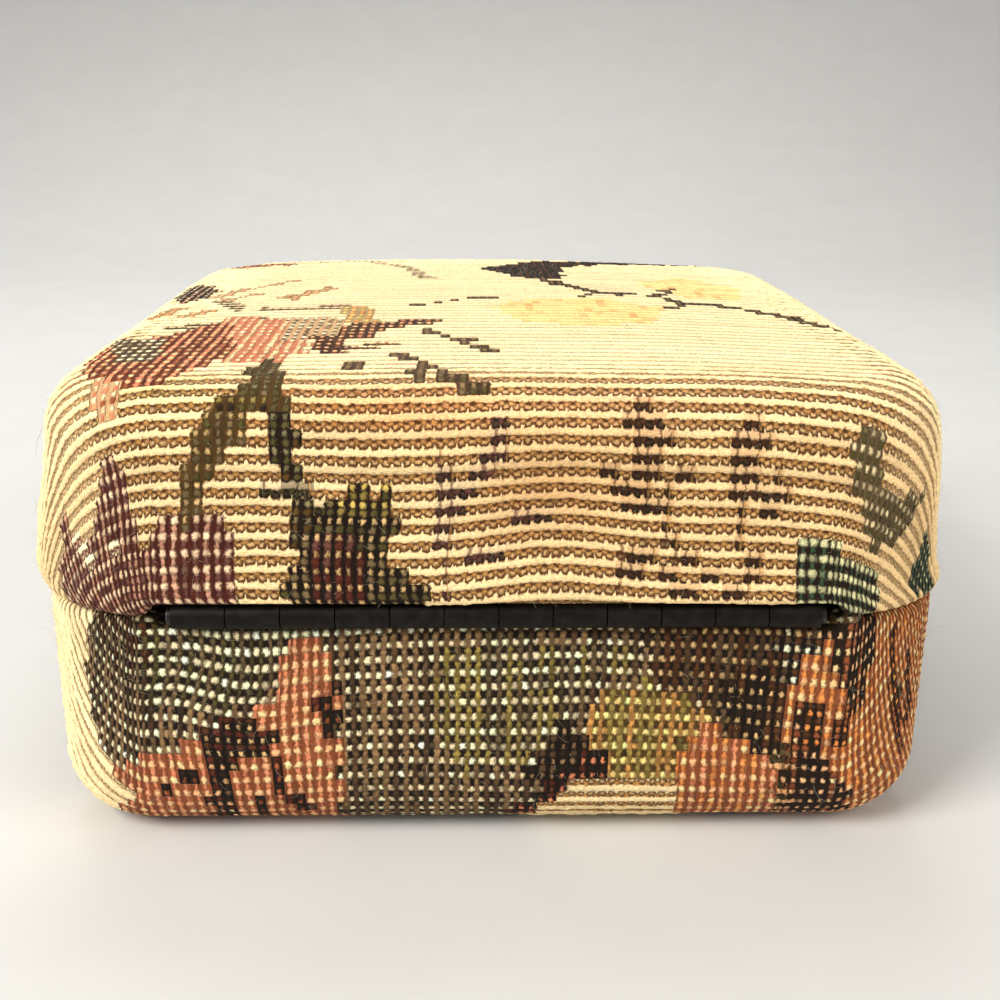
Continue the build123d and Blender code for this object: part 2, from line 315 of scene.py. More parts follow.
# fan: 2 lays the cloth round a corner in circles, less folds it more sharply
# windowHalf, windowRise: the part of the mouth that is cut back for the hinge
# narrow: how much the padding gives way at the sides of the lid's far half
# skew: how far the hem hangs to one side
lidForm = {
    "half": 45.0, "corner": 14.5, "mouth": 24.35, "top": 46.75, "crown": 1.3, "lean": 5.856, "edge": 5.5,
    "hem": 0.85, "turnIn": 3.6, "tuck": 0.9, "windowHalf": 31.6, "windowRise": 1.2,
    "fan": 2.0, "narrow": 0.038, "skew": 0.45,
}
baseForm = {
    "half": 43.4, "corner": 10.0, "mouth": 24.05, "top": 0.0, "crown": 0.0, "lean": 0.0, "edge": 7.0,
    "hem": 0.85, "turnIn": 3.6, "tuck": 0.9, "windowHalf": 31.6, "windowRise": 1.2,
    "fan": 1.45, "narrow": 0.0, "skew": 0.0,
}
sectionSteps = {"arc": 24, "wall": 0.25, "turnIn": 12, "tuck": 6}
# where the pulls of the cloth begin and end; giveWay's heights differ for the foam below it
easing = {
    "windowOut": 1.2, "windowIn": 0.6, "towardsHinge": (0.9, 1.0), "crown": 1.5, "skew": (37, 29),
    "skewHem": (0.2, 2.0), "clothGives": 32.0, "foamGives": 37.0, "givesAllAt": 42, "givesDepth": (40, 3),
}


def sectionOf(form, cut=0.0):
    # From the core rectangle over the rim, down the wall, round the hem, in to the frame and up beside it
    lean = math.radians(form["lean"])
    rise = abs(form["top"] - form["crown"] - form["mouth"])
    turn, hemTurn = math.pi / 2 - lean, math.pi / 2 + lean
    rimCut, hemCut = form["edge"] * math.tan(turn / 2), form["hem"] * math.tan(hemTurn / 2)
    flat = form["corner"] - rise * math.tan(lean) - rimCut
    wall = (rise - cut) / math.cos(lean) - rimCut - hemCut
    path, angle = [(0.0, 0.0)], 0.0

    def go(step, heading):
        x, y = path[-1]
        path.append((x + step * math.cos(heading), y + step * math.sin(heading)))

    for kind, size, bend in (("line", flat, 0), ("arc", form["edge"], turn), ("line", wall, 0),
                             ("arc", form["hem"], hemTurn)):
        count = sectionSteps["arc"] if kind == "arc" else max(2, int(size / sectionSteps["wall"]))
        for k in range(count):
            if kind == "line":
                go(size / count, angle)
            else:
                go(2 * size * math.sin(bend / count / 2), angle + bend * (k + 0.5) / count)
        angle += bend
    inward = path[-1][0] - (form["corner"] - form["turnIn"])
    for count, length, heading in ((sectionSteps["turnIn"], inward, math.pi),
                                   (sectionSteps["tuck"], form["tuck"] + cut, -math.pi / 2)):
        for k in range(count):
            go(length / count, heading)
    path = np.array(path)
    run = np.r_[0, np.cumsum(np.hypot(*np.diff(path, axis=0).T))]
    return run, path[:, 0], path[:, 1]


def giveWay(x, y, z, amount, low):
    # the lid's padding yields at the sides of its far half
    return x * (1 - amount * smooth(low, easing["givesAllAt"], z) * smooth(*easing["givesDepth"], y))


def crownRadius(form):
    return (form["half"] ** 2 + form["crown"] ** 2) / (2 * form["crown"])


def placeCloth(form, u, v):
    # Flat cloth (u, v) to the box: straight over each side, fanned round each corner
    core = form["half"] - form["corner"]
    cu, cv = np.clip(u, -core, core), np.clip(v, -core, core)
    straight = np.maximum(np.hypot(u - cu, v - cv), 1e-9)
    nu, nv = (u - cu) / straight, (v - cv) / straight
    r = (np.abs(u - cu) ** form["fan"] + np.abs(v - cv) ** form["fan"]) ** (1 / form["fan"])
    plain, raised = sectionOf(form), sectionOf(form, form["windowRise"])
    reach = plain[0][-1]
    near = np.minimum(r, reach)
    out, down = np.interp(near, plain[0], plain[1]), np.interp(near, plain[0], plain[2])
    atHinge = smooth(form["windowHalf"] + easing["windowOut"], form["windowHalf"] - easing["windowIn"],
                     np.abs(cu + nu * out))
    atHinge = atHinge * (v > cv) * smooth(*easing["towardsHinge"], nv)
    out = out + (np.interp(near, raised[0], raised[1]) - out) * atHinge
    down = down + (np.interp(near, raised[0], raised[2]) - down) * atHinge
    x, y = cu + nu * out, cv + nv * out
    flatTop = form["top"] - form["crown"]
    z = flatTop + down * (1 if form["mouth"] > form["top"] else -1)
    if form["crown"]:
        fade = np.clip(1 - down / (flatTop - form["mouth"] - easing["crown"]), 0, 1)
        z = z + (form["crown"] - (x * x + y * y) / (2 * crownRadius(form))) * fade
    if form["narrow"]:
        x = giveWay(x, y, z, form["narrow"], easing["clothGives"])
        hem = reach - form["tuck"] - form["turnIn"]
        outside = smooth(hem + easing["skewHem"][0], hem - easing["skewHem"][1], r)
        x = x + form["skew"] * smooth(*easing["skew"], z) * outside
    return x, y, z, r, reach


# red, green and blue of the yarns before the picture's warmth
threads = {
    "cream": (246, 232, 206), "ivory": (255, 248, 230), "sand": (208, 180, 140), "gold": (208, 158, 98),
    "brown": (84, 52, 34), "dark": (40, 28, 21), "black": (30, 21, 16), "rust": (156, 90, 62),
    "coral": (234, 148, 122), "peach": (255, 204, 168), "olive": (84, 78, 48), "moss": (92, 70, 36),
    "oliveYellow": (150, 136, 78), "leafGold": (204, 184, 112), "paleYellow": (240, 222, 160),
    "mauve": (196, 148, 138), "plum": (112, 72, 72), "burgundy": (88, 40, 34), "teal": (56, 84, 70),
    "mint": (214, 220, 192), "sage": (122, 118, 96), "greyGreen": (112, 98, 76), "grey": (144, 118, 92),
    "charcoal": (90, 70, 54), "orange": (236, 150, 88), "umber": (118, 54, 32), "tan": (102, 64, 36),
    "pink": (232, 204, 190), "lilac": (200, 184, 178), "whiteGrey": (220, 212, 194),
    "pale": (230, 218, 192),
}
warmth = np.array([1.12, 0.99, 0.72])
threads = {name: toLinear(*value) * warmth for name, value in threads.items()}

# how uneven hand and loom are: the wander of outlines, dyes, faded rows and missing floats
unevenness = {
    "across": 0.28, "down": 0.25, "wrongWarp": 0.08, "fadedRow": (-0.25, 0.3), "mostFaded": 0.95,
    "missing": 0.9, "row": 0.04, "float": 1.5, "cord": 0.4, "warp": 0.8,
}


class Weaving:
    # the colours of every stitch of one cloth
    def __init__(self, across, down, seed, ground):
        self.a, self.d = across, down
        self.random = np.random.default_rng(seed)
        self.roughA = across + self.random.normal(0, unevenness["across"], across.shape)
        self.roughD = down + self.random.normal(0, unevenness["down"], across.shape)
        self.weft, self.warp, self.gap = (np.zeros((*across.shape, 3)) + threads[k] for k in ground.split())
        self.figured, self.stagger, self.long = (np.zeros(across.shape) for k in range(3))
        self.full = np.ones(across.shape)

    def area(self, *points):
        inside = np.zeros(self.a.shape, bool)
        for (x0, y0), (x1, y1) in zip(points, points[1:] + points[:1]):
            if y0 != y1:
                crosses = (y0 > self.roughD) != (y1 > self.roughD)
                inside ^= crosses & (self.roughA < (x1 - x0) * (self.roughD - y0) / (y1 - y0) + x0)
        return inside

    def line(self, width, *points):
        best = np.full(self.a.shape, 1e9)
        for (x0, y0), (x1, y1) in zip(points, points[1:]):
            dx, dy = x1 - x0, y1 - y0
            t = np.clip(((self.roughA - x0) * dx + (self.roughD - y0) * dy) / (dx ** 2 + dy ** 2), 0, 1)
            best = np.minimum(best, np.hypot(self.roughA - x0 - t * dx, self.roughD - y0 - t * dy))
        return best < width / 2

    def lines(self, width, *paths):
        return np.any([self.line(width, *path) for path in paths], axis=0)

    def flower(self, x, y, radius, petals, turn):
        angle = np.arctan2(self.roughD - y, self.roughA - x)
        reach = radius * (0.62 + 0.38 * np.abs(np.cos(petals * (angle - turn) / 2)))
        return np.hypot(self.roughA - x, self.roughD - y) < reach

    def near(self, x, y, rx, ry):
        return np.exp(-((self.a - x) / rx) ** 2 - ((self.d - y) / ry) ** 2)

    def tint(self, weight, name, amount, warpAmount=None):
        for layer, much in ((self.weft, amount), (self.warp, amount if warpAmount is None else warpAmount)):
            layer += (threads[name] - layer) * (weight * much)[..., None]

    def figure(self, mask, yarns, full=0.5, stagger=0.0, long=0.0, shown=0.94, faded=0.35):
        # yarns are weft, warp, second warp and gap; warps of two colours change every few columns;
        # shown is the share of stitches with a float
        weft, warp, second, gap = (threads[name] for name in yarns.split())
        column = np.arange(mask.shape[1])
        stripe = (np.sin(column * 1.9) + 0.6 * np.sin(column * 0.73 + 1) > 0.25)[None, :]
        other = stripe ^ (self.random.random(mask.shape) < unevenness["wrongWarp"])
        colors = np.where(other[..., None], second, warp)
        less = self.random.random(mask.shape) ** 1.5 * faded
        rowFade = self.random.uniform(*unevenness["fadedRow"], (mask.shape[0], 1)) * faded
        less = np.clip(less + rowFade, 0, unevenness["mostFaded"])
        less = np.where(self.random.random(mask.shape) > shown, unevenness["missing"], less)[..., None]
        floats = weft * (1 - less) + colors * less
        self.weft[mask], self.warp[mask], self.gap[mask] = floats[mask], colors[mask], gap
        self.figured[mask], self.full[mask], self.stagger[mask], self.long[mask] = 1.0, full, stagger, long

    def patch(self, yarns, full, *points, **more):
        self.figure(self.area(*points), yarns, full, **more)

    def strip(self, yarns, full, width, *paths, **more):
        self.figure(self.lines(width, *paths), yarns, full, **more)

    def sprig(self, mask, warp, gap, crossing=0.35, weft="lilac"):
        # thin figures: dark in the check rows, with uprights over the cords in some of the stitches
        crossed = mask & (self.random.random(mask.shape) < crossing)
        self.warp[mask], self.gap[mask], self.full[mask] = threads[warp], threads[gap], 0.12
        self.weft[mask] = self.weft[mask] * 0.7 + threads[weft] * 0.3
        self.figured[mask], self.long[mask], self.stagger[mask], self.long[crossed] = 0.0, 0.0, 1.0, 0.75

    def strokes(self, *items):
        # short runs in one check row each: down, first and last place across
        mask = np.zeros(self.a.shape, bool)
        for down, first, last in items:
            mask |= (np.abs(self.d - down + 0.4) < 0.79) & (self.a > first - 0.3) & (self.a < last + 0.3)
        return mask

    def uprights(self, warp, *items):
        # single threads that run over the cords: across, first and last place down
        for across, first, last in items:
            nearest = np.abs(self.a - across) <= np.abs(self.a - across).min() + 0.01
            mask = nearest & (self.d > first) & (self.d < last)
            self.warp[mask], self.stagger[mask], self.long[mask] = threads[warp], 1.0, 0.75

    def ground(self, mask, weft, warp, gap, full=1.0):
        self.weft[mask], self.warp[mask], self.gap[mask] = threads[weft], threads[warp], threads[gap]
        self.figured[mask], self.full[mask], self.stagger[mask], self.long[mask] = 0.0, full, 0.0, 0.0

    def finish(self, spread=0.12):
        # every thread is dyed a little unevenly; a cord changes slowly along its length, a float at once
        rows, cols = self.figured.shape
        rough = self.random.normal(0, 1, (rows, cols + 8))
        slow = sum(rough[:, k:k + cols] for k in range(9)) / 3
        quick = self.random.normal(0, 1, (rows, cols))
        perRow = self.random.normal(0, unevenness["row"], (rows, 1))
        change = np.where(self.figured > 0.5, quick * unevenness["float"], slow * unevenness["cord"])
        self.weft *= np.clip(1 + perRow + spread * change, 0.45, 1.5)[..., None]
        columns = self.random.normal(0, 1, (rows + 4, cols))
        tall = sum(columns[k:k + rows] for k in range(5)) / 2.24
        single = spread * unevenness["warp"] * self.random.normal(0, 1, (rows, cols))
        self.warp *= np.clip(1 + spread * tall + single, 0.4, 1.6)[..., None]
        self.gap *= np.clip(1 + spread * self.random.normal(0, 1, (rows, cols)), 0.5, 1.5)[..., None]
        for layer in (self.weft, self.warp, self.gap):
            np.clip(layer, 0, 1, out=layer)


# painted light: the brightly lit top is made pale, its cords widened and its warps and gaps near cream, and
# partly so at the two ends of the face
paintedTopLight = {"from": 41.5, "to": 31, "ends": 0.45, "endsAcross": (34, 42), "endsDown": (20, 40),
           "widened": 0.95, "warpShade": 0.8, "warp": 0.9, "gapShade": 0.85, "gap": 0.96}


def weaveLid(across, down):
    w = Weaving(across, down, 11, "cream gold tan")
    # painted light on the top and at the ends of the face
    onTop = smooth(paintedTopLight["from"], paintedTopLight["to"], np.maximum(np.abs(w.a), np.abs(w.d)))
    atEnds = smooth(*paintedTopLight["endsAcross"], np.abs(w.a)) * smooth(*paintedTopLight["endsDown"], w.d)
    pale = np.maximum(onTop, atEnds * paintedTopLight["ends"])
    w.full += paintedTopLight["widened"] * pale
    w.warp += (threads["cream"] * paintedTopLight["warpShade"] - w.warp) * (paintedTopLight["warp"] * pale)[..., None]
    w.gap += (threads["cream"] * paintedTopLight["gapShade"] - w.gap) * (paintedTopLight["gap"] * pale)[..., None]
    # stains and warm parts of the ground, and painted shade on the face
    w.tint(w.near(-8, 42.5, 12, 2.8), "orange", 0.5)
    # painted shade: the face below the rim is tinted sand, darker than the lit top
    w.tint(smooth(40, 46, w.d), "sand", 0.38, 0.1)
    w.tint(w.near(6, 41.5, 16, 3.2), "peach", 0.35)
    w.tint(w.near(3.5, 51.5, 5.5, 4.5), "rust", 0.34)
    w.tint(w.near(7, 50, 9, 7), "gold", 0.3)
    w.tint(w.near(-31, 40, 6, 2.4), "leafGold", 0.45)
    w.tint(w.near(20, 38, 24, 6), "peach", 0.12)
    w.tint(smooth(6, 36, w.a) * smooth(34, 44, w.d), "gold", 0.18)
    w.tint(w.near(-41, 36, 4, 10), "gold", 0.14)

    # top, far edge
    w.patch("brown dark brown black", 0.3, (-1, -26), (2, -31), (9, -38), (18, -38.5), (33, -39), (31, -37),
            (18, -34), (11, -28), (9, -14), (5, -15), faded=0.8)
    w.patch("pink coral rust rust", 0.7, (-39, -31), (-37, -36), (-31, -38), (-27, -35), (-33, -32))
    w.sprig(w.line(1.6, (-30, -36.5), (-20, -36), (-12, -36)), "grey", "charcoal", 0.3, "lilac")
    w.patch("whiteGrey plum mauve dark", 0.4, (-41, -7), (-40, -14), (-36.5, -12.5), (-34.5, -6),
            (-37, 1.5), (-40, 0))
    # thin petals
    w.strip("pink coral peach sand", 0.9, 1.4, ((-34.6, -1), (-31, -8), (-26, -15)), ((-33, 1), (-29, -4)),
            long=0.4)
    w.strip("peach coral rust sand", 0.7, 2.2, ((-24.4, 0), (-20.6, -7)), long=0.6)
    w.strip("peach orange coral sand", 0.7, 2.0, ((-39, 11), (-37, 6)), ((-35, 11), (-33, 7.5)), long=0.5)
    w.patch("paleYellow orange leafGold sand", 0.8, (-17.4, 7), (-13.8, 8), (-13, 16), (-16.4, 16),
            long=0.3)
    w.sprig(w.lines(1.8, ((-33, 1), (-29.4, 7)), ((-29, 11.4), (-26.4, 12)), ((-34.8, 17), (-28.8, 14.6))),
            "olive", "dark", 0.75, "greyGreen")
    w.sprig(w.lines(1.9, ((-26.5, 7), (-20.6, 8))), "grey", "charcoal", 0.6, "sage")
    w.sprig(w.line(2.2, (-18.8, 7), (-17.2, 6.6)), "grey", "charcoal", 0.9, "mauve")
    # big flower: dark and rust columns, coral petals, two grey checks, an arm to the right
    w.patch("peach coral rust umber", 0.55, (-41, 25), (-36, 22), (-33, 19.5), (-30, 12.5), (-26.5, 15),
            (-26.4, 28), (-27.6, 35), (-30.5, 39.4), (-33.6, 39.6), (-36.8, 39), (-39, 33), long=0.9,
            faded=0.3)
    w.patch("cream peach coral coral", 0.5, (-30.4, 12), (-23.6, 12.6), (-19.6, 19), (-18.6, 27),
            (-20.4, 33.6), (-26, 33.4), (-26.8, 24), long=0.9, faded=0.4)
    w.patch("ivory grey greyGreen charcoal", 0.7, (-40.6, 21), (-34.8, 23), (-32.2, 32), (-37.4, 31.4))
    w.patch("cream rust coral peach", 0.55, (-37.4, 37), (-33.6, 38.6), (-34.4, 43), (-36.6, 42.6),
            long=0.85)
    w.patch("ivory charcoal grey peach", 0.7, (-23.4, 13.4), (-17.4, 13.2), (-16.4, 23.6), (-21.4, 24.4))
    w.patch("peach rust burgundy brown", 0.4, (-19.2, 22.2), (-15.6, 22.6), (-14.8, 30), (-18, 30))
    w.patch("peach rust brown brown", 0.5, (-17, 17.2), (-12, 15.6), (-5.9, 14.4), (-5.7, 16.4),
            (-11, 19.6), (-15.4, 26), long=0.5, faded=0.5)
    w.sprig(w.line(2.0, (-15, 29), (-10.8, 26)), "rust", "brown", 0.7, "peach")
    # dotted branches
    dots = w.lines(1.5, ((-8.4, 6.4), (-5, 3.4), (0.2, 1)), ((-7.8, 20.6), (-4.2, 24), (-0.6, 30.4)),
                   ((-13.6, 35), (-12.2, 34)),
                   ((-10.6, 32.2), (-9.4, 30.6), (-7.4, 34), (-5.6, 37.6), (-3.4, 39.8), (-2, 40.8)),
                   ((-7.4, 37), (-7.4, 38.4)))
    w.figure(dots & (w.random.random(dots.shape) > 0.3), "grey greyGreen olive charcoal", 0.4, long=0.7,
             faded=0.5)
    # pale leaves and the dark branch
    leaves = w.area((0.6, 6), (4.8, 2.8), (13.6, 0.8), (21.2, 7), (18.6, 15), (11.6, 18), (3, 16))
    leaves |= w.area((19.4, -12.6), (27, -20.4), (33.8, -11), (31.8, -2), (25, -0.4))
    w.tint(leaves, "paleYellow", 0.8)
    w.tint(leaves * w.random.random(leaves.shape) ** 6, "orange", 0.7)
    w.strip("grey olive charcoal dark", 0.35, 1.4,
            ((7, -15.8), (10.6, -8.6), (13.8, -3.4), (20.8, -2.4), (23.6, 2.4), (28.6, 3.8), (34.2, 8.4),
             (38.6, 15.4)),
            ((13.6, -3.6), (11.4, -1)), ((20.8, -2.4), (24, -8)), ((23.6, 2.4), (22, 6)), long=0.8,
            faded=0.6)
    # olive twig with its leaf
    w.patch("sage olive greyGreen moss", 0.35, (-22.6, 32.6), (-21.2, 32.6), (-19.6, 38.4), (-18.8, 43),
            (-20.2, 43), (-22.6, 42.4), (-24.2, 42.6), (-23, 38), faded=0.6)
    w.patch("oliveYellow olive dark moss", 0.35, (-26.2, 41.8), (-19.6, 41.8), (-19.6, 43.2), (-25.4, 43.4))
    w.patch("sand olive greyGreen moss", 0.35, (-26, 43), (-22.6, 43), (-22.8, 45.4), (-24.4, 47),
            (-26, 49), (-27, 53), (-28.4, 53), (-28.6, 48.6), (-27.4, 47), faded=0.7)
    w.strip("sage olive moss dark", 0.4, 2.1, ((-19.6, 43), (-18.8, 47), (-17.6, 51), (-17.2, 54)))
    w.sprig(w.line(1.6, (-20.6, 50), (-15.8, 50.8)), "olive", "black", 0.5)
    w.patch("sand olive greyGreen black", 0.25, (-13.2, 49.4), (-11.6, 49.6), (-11, 51), (-9.2, 52.2),
            (-8.4, 54), (-9.4, 55.4), (-9, 57), (-6.2, 58.4), (-5.6, 67), (-18.6, 67), (-18.8, 58),
            (-17.4, 55.4), (-17.2, 52), (-14, 51.6), faded=0.7)
    w.patch("leafGold oliveYellow olive dark", 0.35, (-13, 49.6), (-9.4, 50.6), (-9.6, 52.6), (-14.4, 52.2),
            faded=0.6)
    w.patch("sand burgundy plum black", 0.15, (-16.6, 67), (-16.4, 54.4), (-14, 53.4), (-12, 54),
            (-11.6, 67), faded=0.6, long=0.75)
    # thin plum stems
    w.sprig(w.strokes((44, 0, 0.8), (45.4, -0.4, 0.8), (47, -1.2, 0.4), (48.4, -5.4, -4.4),
                      (48.4, -2.2, -0.8), (50, -5.4, -4), (50, -3, -2), (51.4, -5.6, -3.4),
                      (53, -5.4, -3.6), (53.8, 1, 4.4), (54.6, -5.6, -4.4), (56, -2.6, 0.8),
                      (60.6, -4.8, -4)),
            "plum", "dark", 0.3)
    w.uprights("plum", (-5.4, 45.6, 55.4), (-4.4, 48, 53), (-4.4, 56, 60.6), (-0.6, 44, 49), (0.6, 44, 47))
    # mauve flower
    w.patch("pink mauve plum burgundy", 0.8, (-36.6, 46.4), (-35.2, 46.4), (-33.8, 50), (-33.2, 54.6),
            (-32.4, 56.4), (-30.4, 53), (-27.8, 53.4), (-26.4, 51.4), (-23.6, 54), (-23.2, 67), (-36, 67),
            (-46, 62), (-52, 54), (-46.8, 49.4), (-45.8, 47.2), (-44.6, 47.6), (-45.2, 51), (-42.6, 53.4),
            (-40.6, 52), (-38.6, 49), long=0.5, faded=0.25)
    w.ground(w.lines(1.6, ((-44, 51.6), (-41.6, 54.6)), ((-37, 55.2), (-33.6, 57))), "ivory", "mauve",
             "plum")
    w.patch("pink plum mauve burgundy", 0.4, (-35.2, 55.6), (-32.4, 56), (-32.6, 67), (-40, 66))
    # two ferns
    w.sprig(w.strokes((42.2, 12, 13.8), (43.6, 11.6, 14.6), (45.2, 12, 15.2), (46.7, 12.2, 15),
                      (48.2, 9.4, 10.2), (48.2, 12.4, 14.6), (48.2, 16.2, 17.8), (49.7, 10.4, 14),
                      (49.7, 15, 16), (51.3, 11.2, 15.8), (53, 15.2, 16), (54.6, 16, 17),
                      (56.2, 12.6, 14.4), (56.2, 17.4, 18.4), (57.5, 11.2, 13.6), (57.5, 15.6, 16.4),
                      (58.8, 11.6, 13.4), (58.8, 19.4, 20.8), (60, 16.6, 18.2), (60, 21.4, 22.8)),
            "brown", "dark", 0.6, "rust")
    w.sprig(w.strokes((44.2, 22.2, 23.6), (45.8, 21, 24), (47.5, 20.6, 23.8), (48.9, 20.6, 23.6),
                      (48.9, 24.6, 25.6), (50.4, 21, 26.6), (52, 21.6, 22.8), (52, 23.6, 25.8),
                      (53.6, 21.8, 22.8), (55.2, 22.2, 22.8), (56.8, 23.2, 24), (58.3, 23.2, 24)),
            "brown", "dark", 0.6, "rust")
    w.uprights("brown", (12, 41, 47), (13.6, 48, 51), (15.2, 52, 55), (16.2, 54, 57), (21.8, 49, 56),
               (23.2, 44, 47), (23.2, 55, 61), (11.4, 56, 60))
    # grey leaf and teal at the right
    w.patch("pale olive olive greyGreen", 0.55, (33.8, 42.2), (35, 43.4), (36, 46.2), (39.6, 48.2),
            (44.8, 44.8), (45.6, 45.2), (44.2, 47.8), (43.8, 49.4), (41.4, 52.2), (38.2, 53.6), (35.8, 52),
            (34.6, 50.4), (32.8, 48.2), (31.8, 46.4), (32.2, 44.2), faded=0.5)
    w.patch("mint teal dark dark", 1.5, (28, 54), (30.4, 54), (33, 55.2), (36.4, 55.4), (39.8, 55.6),
            (41.4, 58.2), (41, 66), (28.2, 66), shown=0.95, faded=0.3)
    w.patch("mint teal teal black", 0.3, (50, 46), (56, 47.4), (54, 52), (47.8, 54), long=0.5)

    # the sides that the photograph doesn't show carry the same kinds of flowers and leaves
    for x, y, r, petals, turn, yarns in (
            (-18, -52, 8, 5, 0.3, "peach coral rust dark"), (26, -54, 7, 5, 1.0, "pink mauve plum dark"),
            (-55, -6, 8, 5, 0.0, "peach rust coral dark"), (55, -14, 8, 6, 0.5, "pink mauve plum dark")):
        w.figure(w.flower(x, y, r, petals, turn), yarns, 0.6)
        w.figure(w.flower(x, y, r * 0.3, petals, turn), "paleYellow leafGold oliveYellow brown", 0.7)
    for warps, *points in (
            ("olive oliveYellow", (-36, -46), (-30, -58), (-27, -62), (-24, -58), (-27, -50)),
            ("sage olive", (2, -46), (8, -60), (13, -62), (12, -52)),
            ("olive oliveYellow", (-46, -26), (-58, -20), (-62, -28), (-54, -32)),
            ("teal sage", (46, 14), (60, 20), (58, 28), (48, 24)),
            ("olive oliveYellow", (48, 0), (62, 4), (60, 10), (50, 8)),
            ("sage olive", (-47, 16), (-58, 12), (-63, 20), (-53, 24))):
        w.patch(f"sand {warps} black", 0.25, *points, faded=0.5)
    w.sprig(w.lines(1.8, ((-30, -46), (-22, -42), (-12, -30), (-8, -16)), ((14, -44), (24, -50), (34, -46)),
                    ((47, -34), (56, -28), (60, -8)), ((-48, -14), (-56, -24), (-62, -34))),
            "olive", "dark", 0.5)
    w.sprig(w.lines(1.8, ((40, -62), (41, -44)), ((37, -58), (40, -54), (44, -58)),
                    ((37, -52), (41, -48), (45, -52))),
            "burgundy", "dark", 0.25)
    w.finish()
    return w


